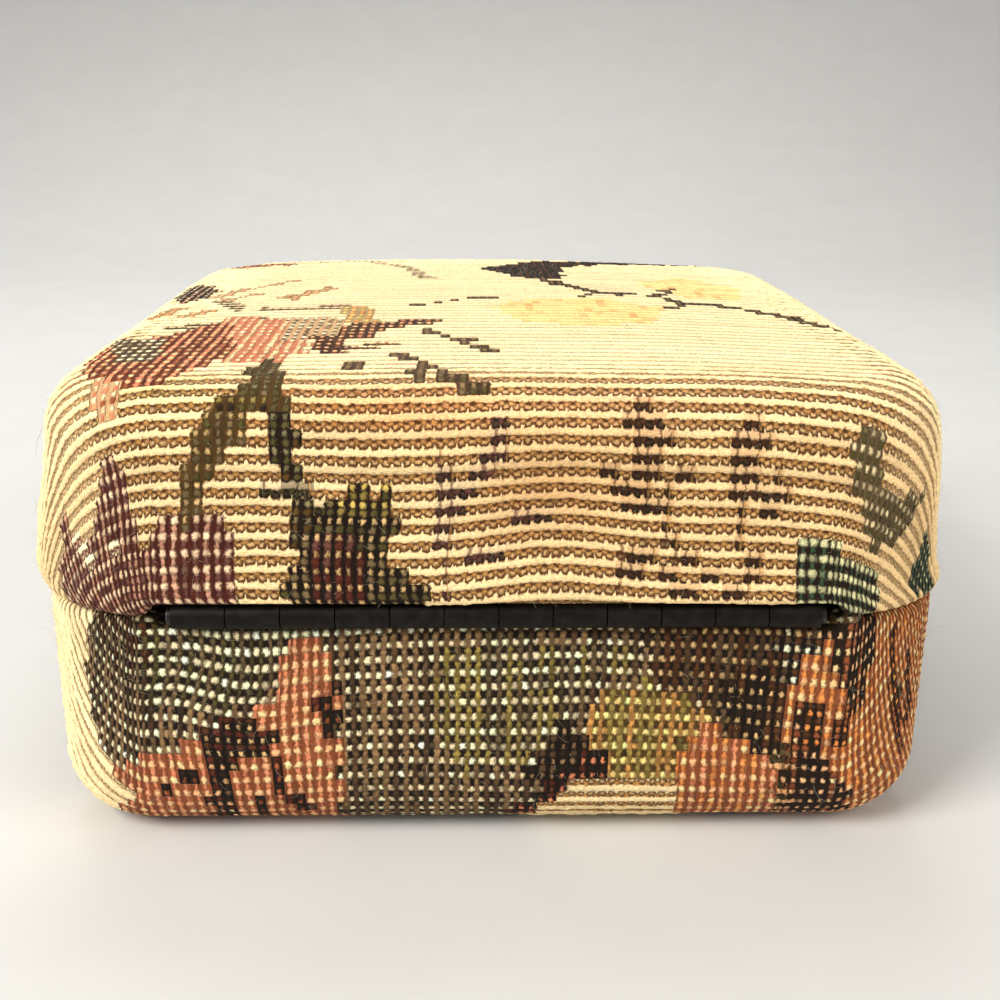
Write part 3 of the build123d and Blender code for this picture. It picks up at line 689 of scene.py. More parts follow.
def weaveBase(across, down):
    w = Weaving(across, down, 23, "cream gold brown")
    w.figure(np.ones(w.a.shape, bool), "ivory grey charcoal dark", 0.42, stagger=1.0, long=0.7, faded=0.55)
    # dark brown and gold at the left, bright dots beside it
    w.patch("ivory greyGreen brown black", 0.35, (-46, 66), (-30, 68), (-31, 61), (-34, 56), (-38, 55),
            (-45, 57), stagger=1.0, long=0.6, faded=0.6)
    w.patch("ivory greyGreen olive dark", 0.8, (-33, 66), (-14.5, 68), (-15, 62), (-18, 58.6), (-25, 55),
            (-32, 54), stagger=1.0, long=0.6, faded=0.2)
    w.patch("ivory grey charcoal dark", 0.5, (-45, 58), (-38, 56), (-33, 55), (-24, 54.4), (-27.6, 51),
            (-32, 50), (-38, 48), (-43, 50), stagger=1.0, long=0.75, faded=0.35)
    # coral flower
    w.patch("peach coral coral rust", 0.9, (-17.9, 62.6), (-16.3, 62.6), (-15, 56.6), (-14.8, 36),
            (-34, 34), (-38, 40), (-37.6, 46.4), (-34.6, 49.2), (-30, 50.8), (-27, 51.8), (-23.4, 51),
            (-21.4, 53.6), (-22.8, 56.6), (-20.6, 57), (-20.4, 59), stagger=0.1, long=0.7, faded=0.4)
    w.patch("sand brown burgundy black", 0.1, (-27, 54), (-20.8, 54), (-20.6, 51.6), (-24.6, 49.6),
            (-27.4, 49.6), faded=0.3)
    w.patch("peach burgundy dark black", 0.4, (-27.2, 49.6), (-25.4, 49.4), (-25.6, 40), (-27.6, 40),
            faded=0.4)
    w.strip("rust burgundy dark black", 0.25, 1.1, ((-28.8, 49.6), (-28.8, 48.2)),
            ((-31.8, 47.4), (-32, 45.6)), ((-20.6, 49.4), (-20.6, 46.8)), ((-16.2, 55), (-15.6, 51)),
            ((-19, 45), (-18.6, 42)), ((-22.6, 44.6), (-22.8, 42)), long=0.6)
    w.patch("grey olive brown black", 0.3, (-14.9, 66), (-13.6, 66), (-13.8, 54), (-15, 54))
    # grey middle with its bright floats
    w.patch("ivory grey charcoal black", 0.45, (-14.6, 66), (13.4, 66), (14, 60), (11.5, 57), (8.4, 52),
            (3, 47), (0, 42), (-14.8, 42), stagger=1.0, long=0.65, faded=0.6)
    w.patch("ivory oliveYellow greyGreen dark", 0.65, (-5, 61.4), (3, 61.6), (8.6, 60.6), (13.8, 60.6),
            (13.4, 58.6), (9, 57.6), (8.4, 53.6), (3, 49), (-3, 47.6), (-5, 52), stagger=1.0, long=0.55,
            faded=0.4)
    w.patch("ivory grey charcoal dark", 0.6, (-14, 60), (-9.5, 60.5), (-9.5, 57), (-14, 57), stagger=1.0,
            long=0.7, faded=0.1)
    # leaf, red edge and the cream strip below it
    w.patch("paleYellow oliveYellow gold moss", 0.6, (8.4, 52), (10.8, 56.4), (15.5, 57), (20.4, 54.6),
            (20.4, 46.8), (12, 46.8), (8.6, 47.2), stagger=1.0, long=0.6, faded=0.4)
    w.patch("grey charcoal dark black", 0.15, (2.8, 48), (6.4, 52.4), (8.6, 52.8), (8.6, 47), (5, 46),
            faded=0.5)
    w.patch("coral burgundy dark black", 0.25, (0.4, 41), (6.2, 48.2), (10.4, 51.2), (10.4, 47.4),
            (6.2, 44.2), (4.4, 40), faded=0.5)
    w.ground(w.area((3.2, 38), (4.6, 43.4), (8.4, 46.8), (20.4, 46.8), (21, 38)), "pale", "gold", "tan",
             1.25)
    # dark brown ground, and the orange flower at the right
    w.patch("sand charcoal brown black", 0.38, (13.6, 66), (31, 66), (31, 62), (28, 57), (27.6, 53),
            (26, 50.4), (21.4, 52.6), (20.4, 55), (15.4, 57.2), (14.4, 60), stagger=1.0, long=0.65,
            faded=0.6)
    w.patch("sand dark brown black", 0.1, (22.2, 59.2), (27.6, 59), (27.2, 50.4), (22.6, 51.4), long=0.6)
    w.patch("ivory brown charcoal black", 0.45, (26.4, 63), (31, 63), (31, 58.6), (26.6, 58.8), faded=0.3)
    w.patch("peach orange coral rust", 0.78, (17.8, 50.4), (21, 53), (22.6, 51), (25.8, 51), (27.6, 50.6),
            (28.6, 40), (18.4, 40), stagger=0.1, long=0.7, faded=0.4)
    w.patch("peach orange orange rust", 0.85, (27.4, 57.4), (30.4, 62), (34, 64), (42, 64), (60, 56),
            (60, 30), (28.6, 34), (27.6, 50), long=0.8, faded=0.35)
    w.patch("peach dark rust dark", 0.3, (27.8, 50.8), (28.6, 55.4), (30, 56.6), (31, 52.6), (32.8, 49),
            (35.2, 46), (35.2, 41), (28.8, 41), long=0.35, faded=0.4)
    w.patch("peach dark rust dark", 0.3, (31.6, 64), (31.8, 60), (32.6, 57.6), (34.6, 54), (36.8, 54.8),
            (38.6, 58), (40, 64), long=0.35, faded=0.4)
    w.sprig(w.lines(1.3, ((27.8, 50.4), (28.5, 42))), "olive", "dark", 0.9, "olive")
    w.strip("orange brown rust dark", 0.3, 1.6, ((44, 50), (42.4, 43)), ((47.6, 51), (46, 45)),
            ((44.6, 57.6), (43.4, 53)), ((31, 56), (30.2, 53)), ((34, 55.4), (33, 52)))
    # cream cords along the left end
    w.ground(w.area((-72, 72), (-47, 64), (-45.2, 58.6), (-46, 55), (-45.2, 51.8), (-42.8, 49.2),
                    (-40.4, 47.2), (-37.4, 46.6), (-35.6, 45.4), (-37, 40), (-40, 34), (-72, 28)),
             "cream", "sand", "tan", 1.9)

    # the sides that the photograph doesn't show and the underside
    for x, y, r, yarns in (
            (-24, -54, 9, "peach coral rust brown"), (20, -56, 8, "peach orange rust brown"),
            (56, -20, 9, "peach coral rust brown"), (-58, -16, 8, "pink mauve plum brown"),
            (-12, -8, 11, "peach coral rust brown"), (26, 14, 9, "pink mauve plum brown")):
        w.figure(w.flower(x, y, r, 5, 0.4), yarns, 0.85, faded=0.5)
        w.figure(w.flower(x, y, r * 0.3, 5, 0.4), "paleYellow leafGold oliveYellow brown", 0.6)
    for warps, *points in (
            ("oliveYellow olive", (-8, -44), (-2, -60), (6, -62), (4, -50)),
            ("olive oliveYellow", (34, -46), (42, -58), (48, -52), (42, -44)),
            ("oliveYellow olive", (48, 0), (62, 6), (64, 16), (52, 12)),
            ("teal sage", (-50, 4), (-64, 2), (-64, 14), (-54, 16)),
            ("olive oliveYellow", (-40, 20), (-24, 12), (-20, 24), (-34, 30)),
            ("teal sage", (6, -30), (22, -34), (26, -20), (12, -18))):
        w.patch(f"pale {warps} dark", 0.5, *points, faded=0.5)
    w.finish(0.16)
    return w


# swirls: across, down, size and turn; bumps: across, down, width, height and shift of the rows
# wave: how far rows and columns wander; topCalm: how flat the cords lie on the top
lidCloth = {
    "column": 0.98, "row": 1.57, "columnShift": 0.2, "rowShift": 0.65, "wave": 0.16, "seed": 5,
    "cordRelief": 0.2, "figureRelief": 0.07, "topCalm": 0.86, "weave": weaveLid, "swirls": (),
    "bumps": ((5.0, 56.0, 7.0, 8.0, -0.9), (35.0, 50.0, 9.0, 10.0, 1.0)),
}
baseCloth = {
    "column": 0.98, "row": 1.53, "columnShift": 0.2, "rowShift": 0.2, "wave": 0.2, "seed": 6,
    "cordRelief": 0.2, "figureRelief": 0.1, "topCalm": 0.0, "weave": weaveBase,
    "swirls": ((-27.5, 56.5, 6.0, 0.3),),
    "bumps": ((8.0, 58.0, 8.0, 7.0, 0.8), (34.0, 54.0, 7.0, 9.0, -1.2)),
}
# faces per stitch, and the heights of cord and figure at the four points of a stitch's height
relief = {
    "perColumn": 2, "perRow": 4, "cord": (0.0, 1.0, 0.1, -0.25), "figure": (0.2, 1.0, 0.2, 0.5),
    "uneven": 0.25, "calmFrom": 41, "calmTo": 27, "inHem": 0.1, "blur": 0.13, "floor": 0.03, "spare": 0.35,
}


def makeCover(name, form, cloth, material):
    reach = sectionOf(form)[0][-1]
    half = form["half"] - form["corner"] + reach
    perCol, perRow = relief["perColumn"], relief["perRow"]
    cols = int(math.ceil(2 * half / cloth["column"])) + 2
    rows = int(math.ceil(2 * half / cloth["row"])) + 2
    firstCol, firstRow = -(cols // 2), -(rows // 2)
    nearCol, nearRow = np.arange(cols * perCol + 1) / perCol, np.arange(rows * perRow + 1) / perRow
    colAt, rowAt = np.meshgrid(firstCol + nearCol, firstRow + nearRow)
    u = (colAt - cloth["columnShift"]) * cloth["column"]
    v = (rowAt - cloth["rowShift"]) * cloth["row"]
    # colours of each stitch, woven on the flat cloth
    midU = (firstCol + np.arange(cols) + 0.5 - cloth["columnShift"]) * cloth["column"]
    midV = (firstRow + np.arange(rows) + 0.5 - cloth["rowShift"]) * cloth["row"]
    cellU, cellV = np.meshgrid(midU, midV)
    w = cloth["weave"](-cellU, cellV)
    # rows and columns of a stretched cloth wander a little, and swirl where it is pulled
    wave = cloth["wave"]
    wu = u + wave * (0.7 * np.sin(v / 7.3 + 1.1) + 0.4 * np.sin(v / 3.1 + u / 11))
    wv = v + wave * (np.sin(u / 8.7 + 0.6) + 0.6 * np.sin(u / 4.1 + v / 9.0)
                     + 0.5 * np.sin(u / 17.0 + v / 23.0))
    for across, down, size, turn in cloth["swirls"]:
        du, dv = wu + across, wv - down
        angle = turn * np.exp(-(du * du + dv * dv) / size ** 2)
        wu = -across + du * np.cos(angle) - dv * np.sin(angle)
        wv = down + du * np.sin(angle) + dv * np.cos(angle)
    for across, down, wide, high, shift in cloth["bumps"]:
        wv = wv + shift * np.exp(-((wu + across) / wide) ** 2 - ((wv - down) / high) ** 2)
    x, y, z, r, reach = placeCloth(form, wu, wv)
    points = np.stack([x, y, z], -1)
    normal = np.cross(np.gradient(points, axis=1), np.gradient(points, axis=0))
    normal /= np.maximum(np.linalg.norm(normal, axis=-1, keepdims=True), 1e-9)
    upsideDown = form["mouth"] > form["top"]
    if upsideDown:
        normal = -normal
    # a figure's share of the four stitches round each point
    figured, blur = 0, relief["blur"]
    for dy, dx in ((-blur, -blur), (-blur, blur), (blur, -blur), (blur, blur)):
        cellR = np.clip(np.floor(nearRow + dy).astype(int), 0, rows - 1)
        cellC = np.clip(np.floor(nearCol + dx).astype(int), 0, cols - 1)
        figured = figured + w.figured[cellR][:, cellC] / 4
    # relief: cords stand proud in the ground, figures are flatter
    rng = np.random.default_rng(cloth["seed"])
    phase = (np.arange(rows * perRow + 1) % perRow)[:, None]
    ground, figure = np.array(relief["cord"])[phase], np.array(relief["figure"])[phase]
    high = (1 - figured) * ground * cloth["cordRelief"] + figured * figure * cloth["figureRelief"]
    high = high * (1 + relief["uneven"] * rng.normal(0, 1, high.shape).clip(-2, 2))
    onTop = smooth(relief["calmFrom"], relief["calmTo"], np.maximum(np.abs(u), np.abs(v)))
    high = high * (1 - cloth["topCalm"] * onTop)
    hemStart = reach - form["tuck"] - form["turnIn"] - 0.3
    high = high * (relief["inHem"] + (1 - relief["inHem"]) * smooth(hemStart + 1.0, hemStart - 0.5, r))
    points = points + normal * high[..., None]
    if form["top"] == 0:
        points[..., 2] = np.maximum(points[..., 2], relief["floor"])
    # quads inside the blank
    inside = r <= reach + relief["spare"]
    index = np.arange(inside.size).reshape(inside.shape)
    keep = inside[:-1, :-1] & inside[1:, :-1] & inside[:-1, 1:] & inside[1:, 1:]
    quads = np.stack([index[:-1, :-1], index[:-1, 1:], index[1:, 1:], index[1:, :-1]], -1)[keep]
    if upsideDown:
        quads = quads[:, ::-1]
    qr, qc = np.nonzero(keep)
    used, quads = np.unique(quads, return_inverse=True)
    quads = quads.reshape(-1, 4)
    cover = addMesh(name, points.reshape(-1, 3)[used], quads, material)
    mesh = cover.data
    place = mesh.attributes.new("clothPlace", "FLOAT_VECTOR", "POINT")
    flat = np.stack([colAt, rowAt, np.zeros_like(colAt)], -1).reshape(-1, 3)[used]
    place.data.foreach_set("vector", (flat + 200).astype(np.float32).ravel())
    share = mesh.attributes.new("figured", "FLOAT", "POINT")
    share.data.foreach_set("value", figured.reshape(-1)[used].astype(np.float32))
    cellRow, cellCol = qr // perRow, qc // perCol
    # a staggered thread lies between two columns and keeps one colour
    between = (qc % perCol == 0) & (w.stagger[cellRow, cellCol] > 0.5)
    threadCol = np.maximum(cellCol - between, 0)
    for label, layer, alpha, fromCol in (
            ("weftColor", w.weft, w.full / 2, cellCol), ("warpColor", w.warp, w.stagger, threadCol),
            ("gapColor", w.gap, w.long, cellCol)):
        color = mesh.attributes.new(label, "FLOAT_COLOR", "CORNER")
        cell = np.ones((len(qr), 4), np.float32)
        cell[:, :3] = layer[cellRow, fromCol]
        cell[:, 3] = alpha[cellRow, cellCol]
        color.data.foreach_set("color", np.repeat(cell, 4, axis=0).ravel())
    print(name, "quads", len(quads), "rows", rows, "columns", cols)
    # the flat blank: a square whose corners are cut along the fan's curve
    quarter = reach * reach * math.gamma(1 + 1 / form["fan"]) ** 2 / math.gamma(1 + 2 / form["fan"])
    area = (2 * half) ** 2 - 4 * (reach * reach - quarter)
    return cover, half, area


lidCover, lidHalf, lidArea = makeCover("lidTapestry", lidForm, lidCloth, makeTapestry("tapestryLight"))
baseCover, baseHalf, baseArea = makeCover("baseTapestry", baseForm, baseCloth, makeTapestry("tapestryDark"))
for cover, body, half, area, under, slot in (
        (lidCover, "lid", lidHalf, lidArea, "lid_foam", "tapestry_light"),
        (baseCover, "base", baseHalf, baseArea, "base_wadding", "tapestry_dark")):
    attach(cover, body)
    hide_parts(body + "_cover")
print("both covers made")

fuzz = {
    "lidCount": 5200, "baseCount": 3000, "shortest": 0.3, "longest": 1.4, "thickness": 0.011, "seed": 31,
    "color": (0.64, 0.55, 0.40), "aboveHem": 5.4, "aboveFloor": 2.5, "clear": 0.15,
    "longShare": 0.05, "longer": 1.6, "curl": 0.5, "rise": (0.55, 1.1), "strayThickness": 0.035,
    "stray": [(44.6, 20, 35.5), (46.2, 20.5, 36.6), (47.6, 20.5, 36.0), (48.6, 20, 34.2), (48.9, 20, 32.6)],
}


def addFibre(points, faces, path, radius):
    start = len(points)
    path = [np.asarray(q, float) for q in path]
    for k, q in enumerate(path):
        heading = path[min(k + 1, len(path) - 1)] - path[max(k - 1, 0)]
        heading /= np.linalg.norm(heading) + 1e-9
        sideways = np.cross(heading, (0.3, 0.9, 0.31))
        sideways /= np.linalg.norm(sideways) + 1e-9
        other = np.cross(heading, sideways)
        thin = radius * (1 - 0.6 * k / (len(path) - 1))
        for turn in (0, 2.094, 4.189):
            points.append(q + thin * (math.cos(turn) * sideways + math.sin(turn) * other))
    for k in range(len(path) - 1):
        for j in range(3):
            a, b = start + 3 * k + j, start + 3 * k + (j + 1) % 3
            faces.append((a, b, b + 3, a + 3))


def makeFuzz(name, form, count, half, material, seed):
    rng = np.random.default_rng(seed)
    points, faces = [], []
    onBase = form["top"] == 0
    made, aside = 0, 0.3
    while made < count:
        u, v = rng.uniform(-half, half, 2)
        x, y, z, r, reach = placeCloth(form, np.array([u, u + aside, u]), np.array([v, v, v + aside]))
        if r[0] > reach - fuzz["aboveHem"] or (onBase and z[0] < fuzz["aboveFloor"]):
            continue
        p = np.stack([x, y, z], -1)
        normal = np.cross(p[1] - p[0], p[2] - p[0])
        if np.linalg.norm(normal) < 1e-9:
            continue
        normal /= np.linalg.norm(normal) * (-1 if onBase else 1)
        lean = rng.normal(0, 1, 3)
        lean -= normal * lean.dot(normal)
        lean /= np.linalg.norm(lean) + 1e-9
        length = rng.uniform(fuzz["shortest"], fuzz["longest"])
        length *= fuzz["longer"] if rng.random() < fuzz["longShare"] else 1
        curl = rng.normal(0, 1, 3) * fuzz["curl"]
        rise = rng.uniform(*fuzz["rise"])
        root = p[0] + normal * 0.02
        path = []
        for t in (0, 0.3, 0.6, 0.85, 1.0):
            bent = normal * rise * (1 - 0.45 * t) + lean * (0.35 + 0.3 * t) + curl * t * t * 0.6
            path.append(root + length * t * bent)
        if min(q[2] for q in path) < fuzz["clear"]:
            continue
        addFibre(points, faces, path, fuzz["thickness"] * rng.uniform(0.7, 1.3))
        made += 1
    return addMesh(name, points, faces, material)


def makeFibreMaterial():
    material, n, shader = newMaterial("cottonFibre", 0.8,
                                      **{"Sheen Weight": 0.3, "Specular IOR Level": 0.2})
    tone = n.noise(n.place(), 140.0)
    n.put(shader.inputs["Base Color"], n.mix(tone, tuple(c * 0.6 for c in fuzz["color"]), fuzz["color"]))
    return material


fibreMaterial = makeFibreMaterial()
lidFuzz = makeFuzz("lidFuzz", lidForm, fuzz["lidCount"], lidHalf, fibreMaterial, fuzz["seed"])
baseFuzz = makeFuzz("baseFuzz", baseForm, fuzz["baseCount"], baseHalf, fibreMaterial, fuzz["seed"] + 1)
strayPoints, strayFaces = [], []
addFibre(strayPoints, strayFaces, fuzz["stray"], fuzz["strayThickness"])
strayFibre = addMesh("strayFibre", strayPoints, strayFaces, fibreMaterial)
for piece, body, slot in ((lidFuzz, "lid", "tapestry_light"), (strayFibre, "lid", "tapestry_light"),
                          (baseFuzz, "base", "tapestry_dark")):
    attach(piece, body)
print("fibres made")


def roundedLoop(half, corner, straight=14, bend=10):
    # one ring of points round a rounded square, the same count whatever its size
    core = half - corner
    ring = []
    for quarter in range(4):
        angle0 = quarter * math.pi / 2
        ca, sa = math.cos(angle0), math.sin(angle0)
        for k in range(straight):
            t = -core + 2 * core * k / straight
            ring.append((ca * half - sa * t, sa * half + ca * t))
        for k in range(bend):
            angle = angle0 + math.pi / 2 * k / bend
            cx, cy = ca * core - sa * core, sa * core + ca * core
            ring.append((cx + corner * math.cos(angle), cy + corner * math.sin(angle)))
    return np.array(ring)


def makeLoops(name, half, corner, loops, material, closed=False, crown=None, soft=0.0, seed=1, narrow=0.0):
    # loops are (inset, height, share of the crown); each is a ring inside the rounded square
    waves = np.random.default_rng(seed).uniform(0, 6.28, 6)
    points = []
    for inset, z, share in loops:
        ring = roundedLoop(max(half - inset, 0.3), min(max(corner - inset, 0.5), max(half - inset, 0.3)))
        x, y = ring[:, 0], ring[:, 1]
        high = np.full(len(ring), float(z))
        if crown:
            high = high - share * (x * x + y * y) / (2 * crown)
        if soft:
            ripple = np.sin(x / 3.1 + waves[0]) * np.sin(y / 3.7 + waves[1])
            ripple = ripple + 0.5 * np.sin(x / 1.7 + y / 2.3 + waves[2] + z)
            wider = 1 + soft * 0.25 * ripple / half
            x, y = x * wider, y * wider
            high = high + soft * ripple * 0.4 * min(1, abs(share))
        if narrow:
            x = giveWay(x, y, high, narrow, easing["foamGives"])
        points.extend(np.stack([x, y, high], -1))
    count, total = len(ring), len(loops)
    faces = []
    for k in range(total if closed else total - 1):
        for j in range(count):
            a, b = k * count + j, k * count + (j + 1) % count
            c, d = ((k + 1) % total) * count + (j + 1) % count, ((k + 1) % total) * count + j
            faces.append((a, b, c, d))
    if not closed:
        faces.append(tuple(range(count - 1, -1, -1)))
        faces.append(tuple((total - 1) * count + j for j in range(count)))
    piece = addMesh(name, points, faces, material)
    work = bmesh.new()
    work.from_mesh(piece.data)
    bmesh.ops.recalc_face_normals(work, faces=work.faces)
    work.to_mesh(piece.data)
    work.free()
    return piece


def makePileGroup():
    n, start, end = newGroup("shortPile", [("Place", "vector", None), ("Color", "color", None),
                                           ("Scale", "value", 900.0)],
                             [("Color", "color"), ("Height", "value")])
    scaled = n.add("VectorMath", operation="SCALE")
    n.put(scaled.inputs[0], start.outputs["Place"])
    n.put(scaled.inputs["Scale"], start.outputs["Scale"])
    tips = n.noise(scaled.outputs[0], 6.0, 2.0, 0.6)
    nap = n.noise(scaled.outputs[0], 0.12, 3.0, 0.5)
    shade = n.plus(0.55, n.plus(n.times(tips, 0.5), n.times(nap, 0.5)))
    n.put(end.inputs["Color"], n.mix(1.0, start.outputs["Color"], n.gray(shade), "MULTIPLY"))
    n.put(end.inputs["Height"], n.plus(n.times(tips, 0.7), n.times(nap, 0.5)))
    return n.tree


pileGroup = makePileGroup()
pile = {
    "velvet": {"color": (0.20, 0.012, 0.028), "roughness": 0.85, "bump": 0.0002, "sheen": 0.5,
               "scale": 900.0, "tint": (0.75, 0.22, 0.28)},
    "foam": {"color": (0.85, 0.80, 0.62), "roughness": 0.9, "bump": 0.0003, "sheen": 0.1, "scale": 500.0,
             "tint": (1.0, 1.0, 1.0)},
    "wadding": {"color": (0.85, 0.84, 0.80), "roughness": 0.9, "bump": 0.0004, "sheen": 0.3, "scale": 350.0,
                "tint": (1.0, 1.0, 1.0)},
}


def makePileMaterial(name):
    look = pile[name]
    material, n, shader = newMaterial(name, look["roughness"], **{
        "Sheen Weight": look["sheen"], "Sheen Roughness": 0.4, "Sheen Tint": (*look["tint"], 1),
        "Specular IOR Level": 0.15})
    woolly = useGroup(n, pileGroup, Place=n.place(), Color=(*look["color"], 1), Scale=look["scale"])
    n.put(shader.inputs["Base Color"], woolly["Color"])
    giveBump(n, shader, woolly["Height"], look["bump"])
    return material


velvet = makePileMaterial("velvet")

# outer and inner are measured inwards from the box's outside
# flat: half and corner of the ring that the strip's length is measured on
lining = {
    "outer": 4.4, "inner": 5.6, "edge": 0.5, "swell": 0.1, "soft": 0.1, "turned": 1.2,
    "base": {"low": 4.55, "high": 23.45, "lean": 0.0, "flat": (38.4, 5.0), "seed": 3},
    "lid": {"low": 24.95, "high": 39.75, "lean": 0.1026, "flat": (39.4, 9.5), "seed": 4},
}


def liningLoops(form, strip):
    # round the inside of the walls: a soft outer edge at the mouth, straight at the other end
    onLid = form["top"] > form["mouth"]
    far, near = (strip["high"], strip["low"]) if onLid else (strip["low"], strip["high"])
    edge = lining["edge"] if onLid else -lining["edge"]
    loops = []
    for t in np.linspace(0, 1, 7):
        loops.append((lining["inner"] + lining["swell"] * math.sin(math.pi * t),
                      far + (near + edge - far) * t))
    middle = (lining["inner"] + lining["outer"]) / 2
    wide = (lining["inner"] - lining["outer"]) / 2
    for k in range(1, 8):
        angle = math.pi * k / 8
        loops.append((middle + wide * math.cos(angle), near + edge * (1 - math.sin(angle))))
    for t in np.linspace(0, 1, 5):
        loops.append((lining["outer"], near + edge + (far - near - edge) * t))
    return [(inset + abs(z - form["mouth"]) * strip["lean"], z, 0.0) for inset, z in loops]


for name, body, form in (("baseLining", "base", baseForm), ("lidLining", "lid", lidForm)):
    strip = lining[body]
    piece = makeLoops(name, form["half"], form["corner"], liningLoops(form, strip), velvet, True,
                      soft=lining["soft"], seed=strip["seed"])
    half, corner = strip["flat"]
    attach(piece, body)
    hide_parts(body + "_lining")

pads = {
    "crown": 1125.5, "edge": 0.9, "soft": 0.22, "fill": 0.8,
    "floorPad": {"half": 37.5, "corner": 4.1, "flat": 4.7, "crowned": 7.1, "seed": 7},
    "lidPad": {"half": 37.4, "corner": 6.9, "flat": 39.85, "crowned": 37.45, "seed": 8},
}


def padLoops(half, flat, crowned):
    # from the middle of the soft face, over its edge, and back over the flat face
    side, edge = (1 if crowned > flat else -1), pads["edge"]
    loops = [(half * (1 - t), crowned, side) for t in (0.02, 0.12, 0.25, 0.4, 0.55, 0.7, 0.82, 0.9, 0.95)]
    for k in range(7):
        angle = math.pi / 2 * k / 6
        loops.append((edge * (1 - math.sin(angle)), crowned - side * edge * (1 - math.cos(angle)), side))
    loops += [(0.0, (crowned - side * edge + flat) / 2 - side * 0.25, side * 0.6),
              (0.05, flat + side * 0.3, 0.0), (0.25, flat + side * 0.05, 0.0), (0.6, flat, 0.0),
              (half * 0.5, flat, 0.0), (half * 0.95, flat, 0.0)]
    return loops


for name, node, body in (("floorPad", "floor_pad", "base"), ("lidPad", "lid_pad", "lid")):
    pad = pads[name]
    piece = makeLoops(name, pad["half"], pad["corner"], padLoops(pad["half"], pad["flat"], pad["crowned"]),
                      velvet, crown=pads["crown"], soft=pads["soft"], seed=pad["seed"])
    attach(piece, body)
    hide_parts(node)

# each layer is a bowl; innerIn is its thickness at the walls
layers = {
    "fill": 0.7,
    "foam": {"half": 44.05, "corner": 13.55, "outerTop": 45.8, "outerEdge": 4.55, "innerIn": 0.75,
             "innerTop": 42.8, "innerEdge": 3.75, "mouth": 25.75, "lean": 0.1026, "narrow": 0.036},
    "wadding": {"half": 42.45, "corner": 9.05, "outerTop": 0.95, "outerEdge": 6.05, "innerIn": 0.8,
                "innerTop": 1.75, "innerEdge": 5.25, "mouth": 22.7, "lean": 0.0, "narrow": 0.0},
}


def layerLoops(half, mouth, lean, outerTop, outerEdge, innerIn, innerTop, innerEdge):
    # over the outside, round the mouth, back over the inside
    side = 1 if mouth > outerTop else -1
    middles = (0.02, 0.2, 0.4, 0.6, 0.75)

    def wall(inset, top, edge, share):
        path = []
        for k in range(7):
            angle = math.pi / 2 * k / 6
            z = top + side * edge * (1 - math.cos(angle))
            path.append((inset + edge * (1 - math.sin(angle)) + abs(mouth - z) * lean, z, share))
        return path + [(inset, mouth, 0.0)]

    return ([(half * (1 - t), outerTop, 1.0) for t in middles] + wall(0.0, outerTop, outerEdge, 1.0)
            + wall(innerIn, innerTop, innerEdge, 0.0)[::-1]
            + [(half * (1 - t), innerTop, 0.0) for t in reversed(middles)])


for name, kind, body, crown in (("lidFoam", "foam", "lid", crownRadius(lidForm)),
                                ("baseWadding", "wadding", "base", None)):
    layer = dict(layers[kind])
    corner, narrow = layer.pop("corner"), layer.pop("narrow")
    piece = makeLoops(name, layer["half"], corner, layerLoops(**layer), makePileMaterial(kind), crown=crown,
                      narrow=narrow)
    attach(piece, body)
    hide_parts(body + "_" + kind)
print("foam, wadding, linings and pads made")


def makeWearGroup():
    # worn edges and fine scratches for painted or bare metal
    n, start, end = newGroup("edgeWear", [("Place", "vector", None), ("Amount", "value", 0.5)],
                             [("Worn", "value"), ("Scratches", "value")])
    ridge = n.step(n.add("NewGeometry").outputs["Pointiness"], 0.58, 0.68)
    patchy = n.step(n.noise(start.outputs["Place"], 900.0, 3.0), 0.42, 0.62)
    n.put(end.inputs["Worn"], n.times(n.times(ridge, patchy), start.outputs["Amount"], clamp=True))
    stretched = n.vector("MULTIPLY", start.outputs["Place"], (300.0, 3000.0, 3000.0))
    n.put(end.inputs["Scratches"], n.noise(stretched, 1.0, 3.0, 0.6))
    return n.tree


wearGroup = makeWearGroup()
# each metal's colour, its colour where worn, and how it shines
metals = {
    "blackLacquer": {"color": (0.004, 0.0035, 0.003), "worn": (0.04, 0.03, 0.024), "metallic": 0.0,
                     "roughness": 0.42, "amount": 0.2, "specular": 0.14},
    "blackenedSteel": {"color": (0.03, 0.028, 0.026), "worn": (0.3, 0.29, 0.27), "metallic": 0.8,
                       "roughness": 0.38, "amount": 0.8, "specular": 0.5},
    "bluedSpring": {"color": (0.16, 0.18, 0.23), "worn": (0.42, 0.42, 0.42), "metallic": 1.0,
                    "roughness": 0.3, "amount": 0.6, "specular": 0.5},
}
scratches = {"smoother": 0.08, "rougher": 0.18, "depth": 0.00002}
boards = {"mouldedShell": (0.055, 0.052, 0.05), "greyBoard": (0.36, 0.31, 0.24), "roughness": 0.85,
          "fleck": 1400.0, "fleckDark": 0.75, "fleckDepth": 0.00008}


def makeMetal(name):
    look = metals[name]
    material, n, shader = newMaterial(name, look["roughness"], **{
        "Metallic": look["metallic"], "Specular IOR Level": look["specular"]})
    used = useGroup(n, wearGroup, Place=n.place(), Amount=look["amount"])
    n.put(shader.inputs["Base Color"], n.mix(used["Worn"], look["color"], look["worn"]))
    n.put(shader.inputs["Roughness"],
          n.plus(look["roughness"] - scratches["smoother"],
                 n.times(used["Scratches"], scratches["rougher"])))
    giveBump(n, shader, used["Scratches"], scratches["depth"])
    return material


def makeBoard(name):
    material, n, shader = newMaterial(name, boards["roughness"])
    fleck = n.noise(n.place(), boards["fleck"], 4.0, 0.65)
    dark = tuple(c * boards["fleckDark"] for c in boards[name])
    n.put(shader.inputs["Base Color"], n.mix(fleck, dark, boards[name]))
    giveBump(n, shader, fleck, boards["fleckDepth"])
    return material


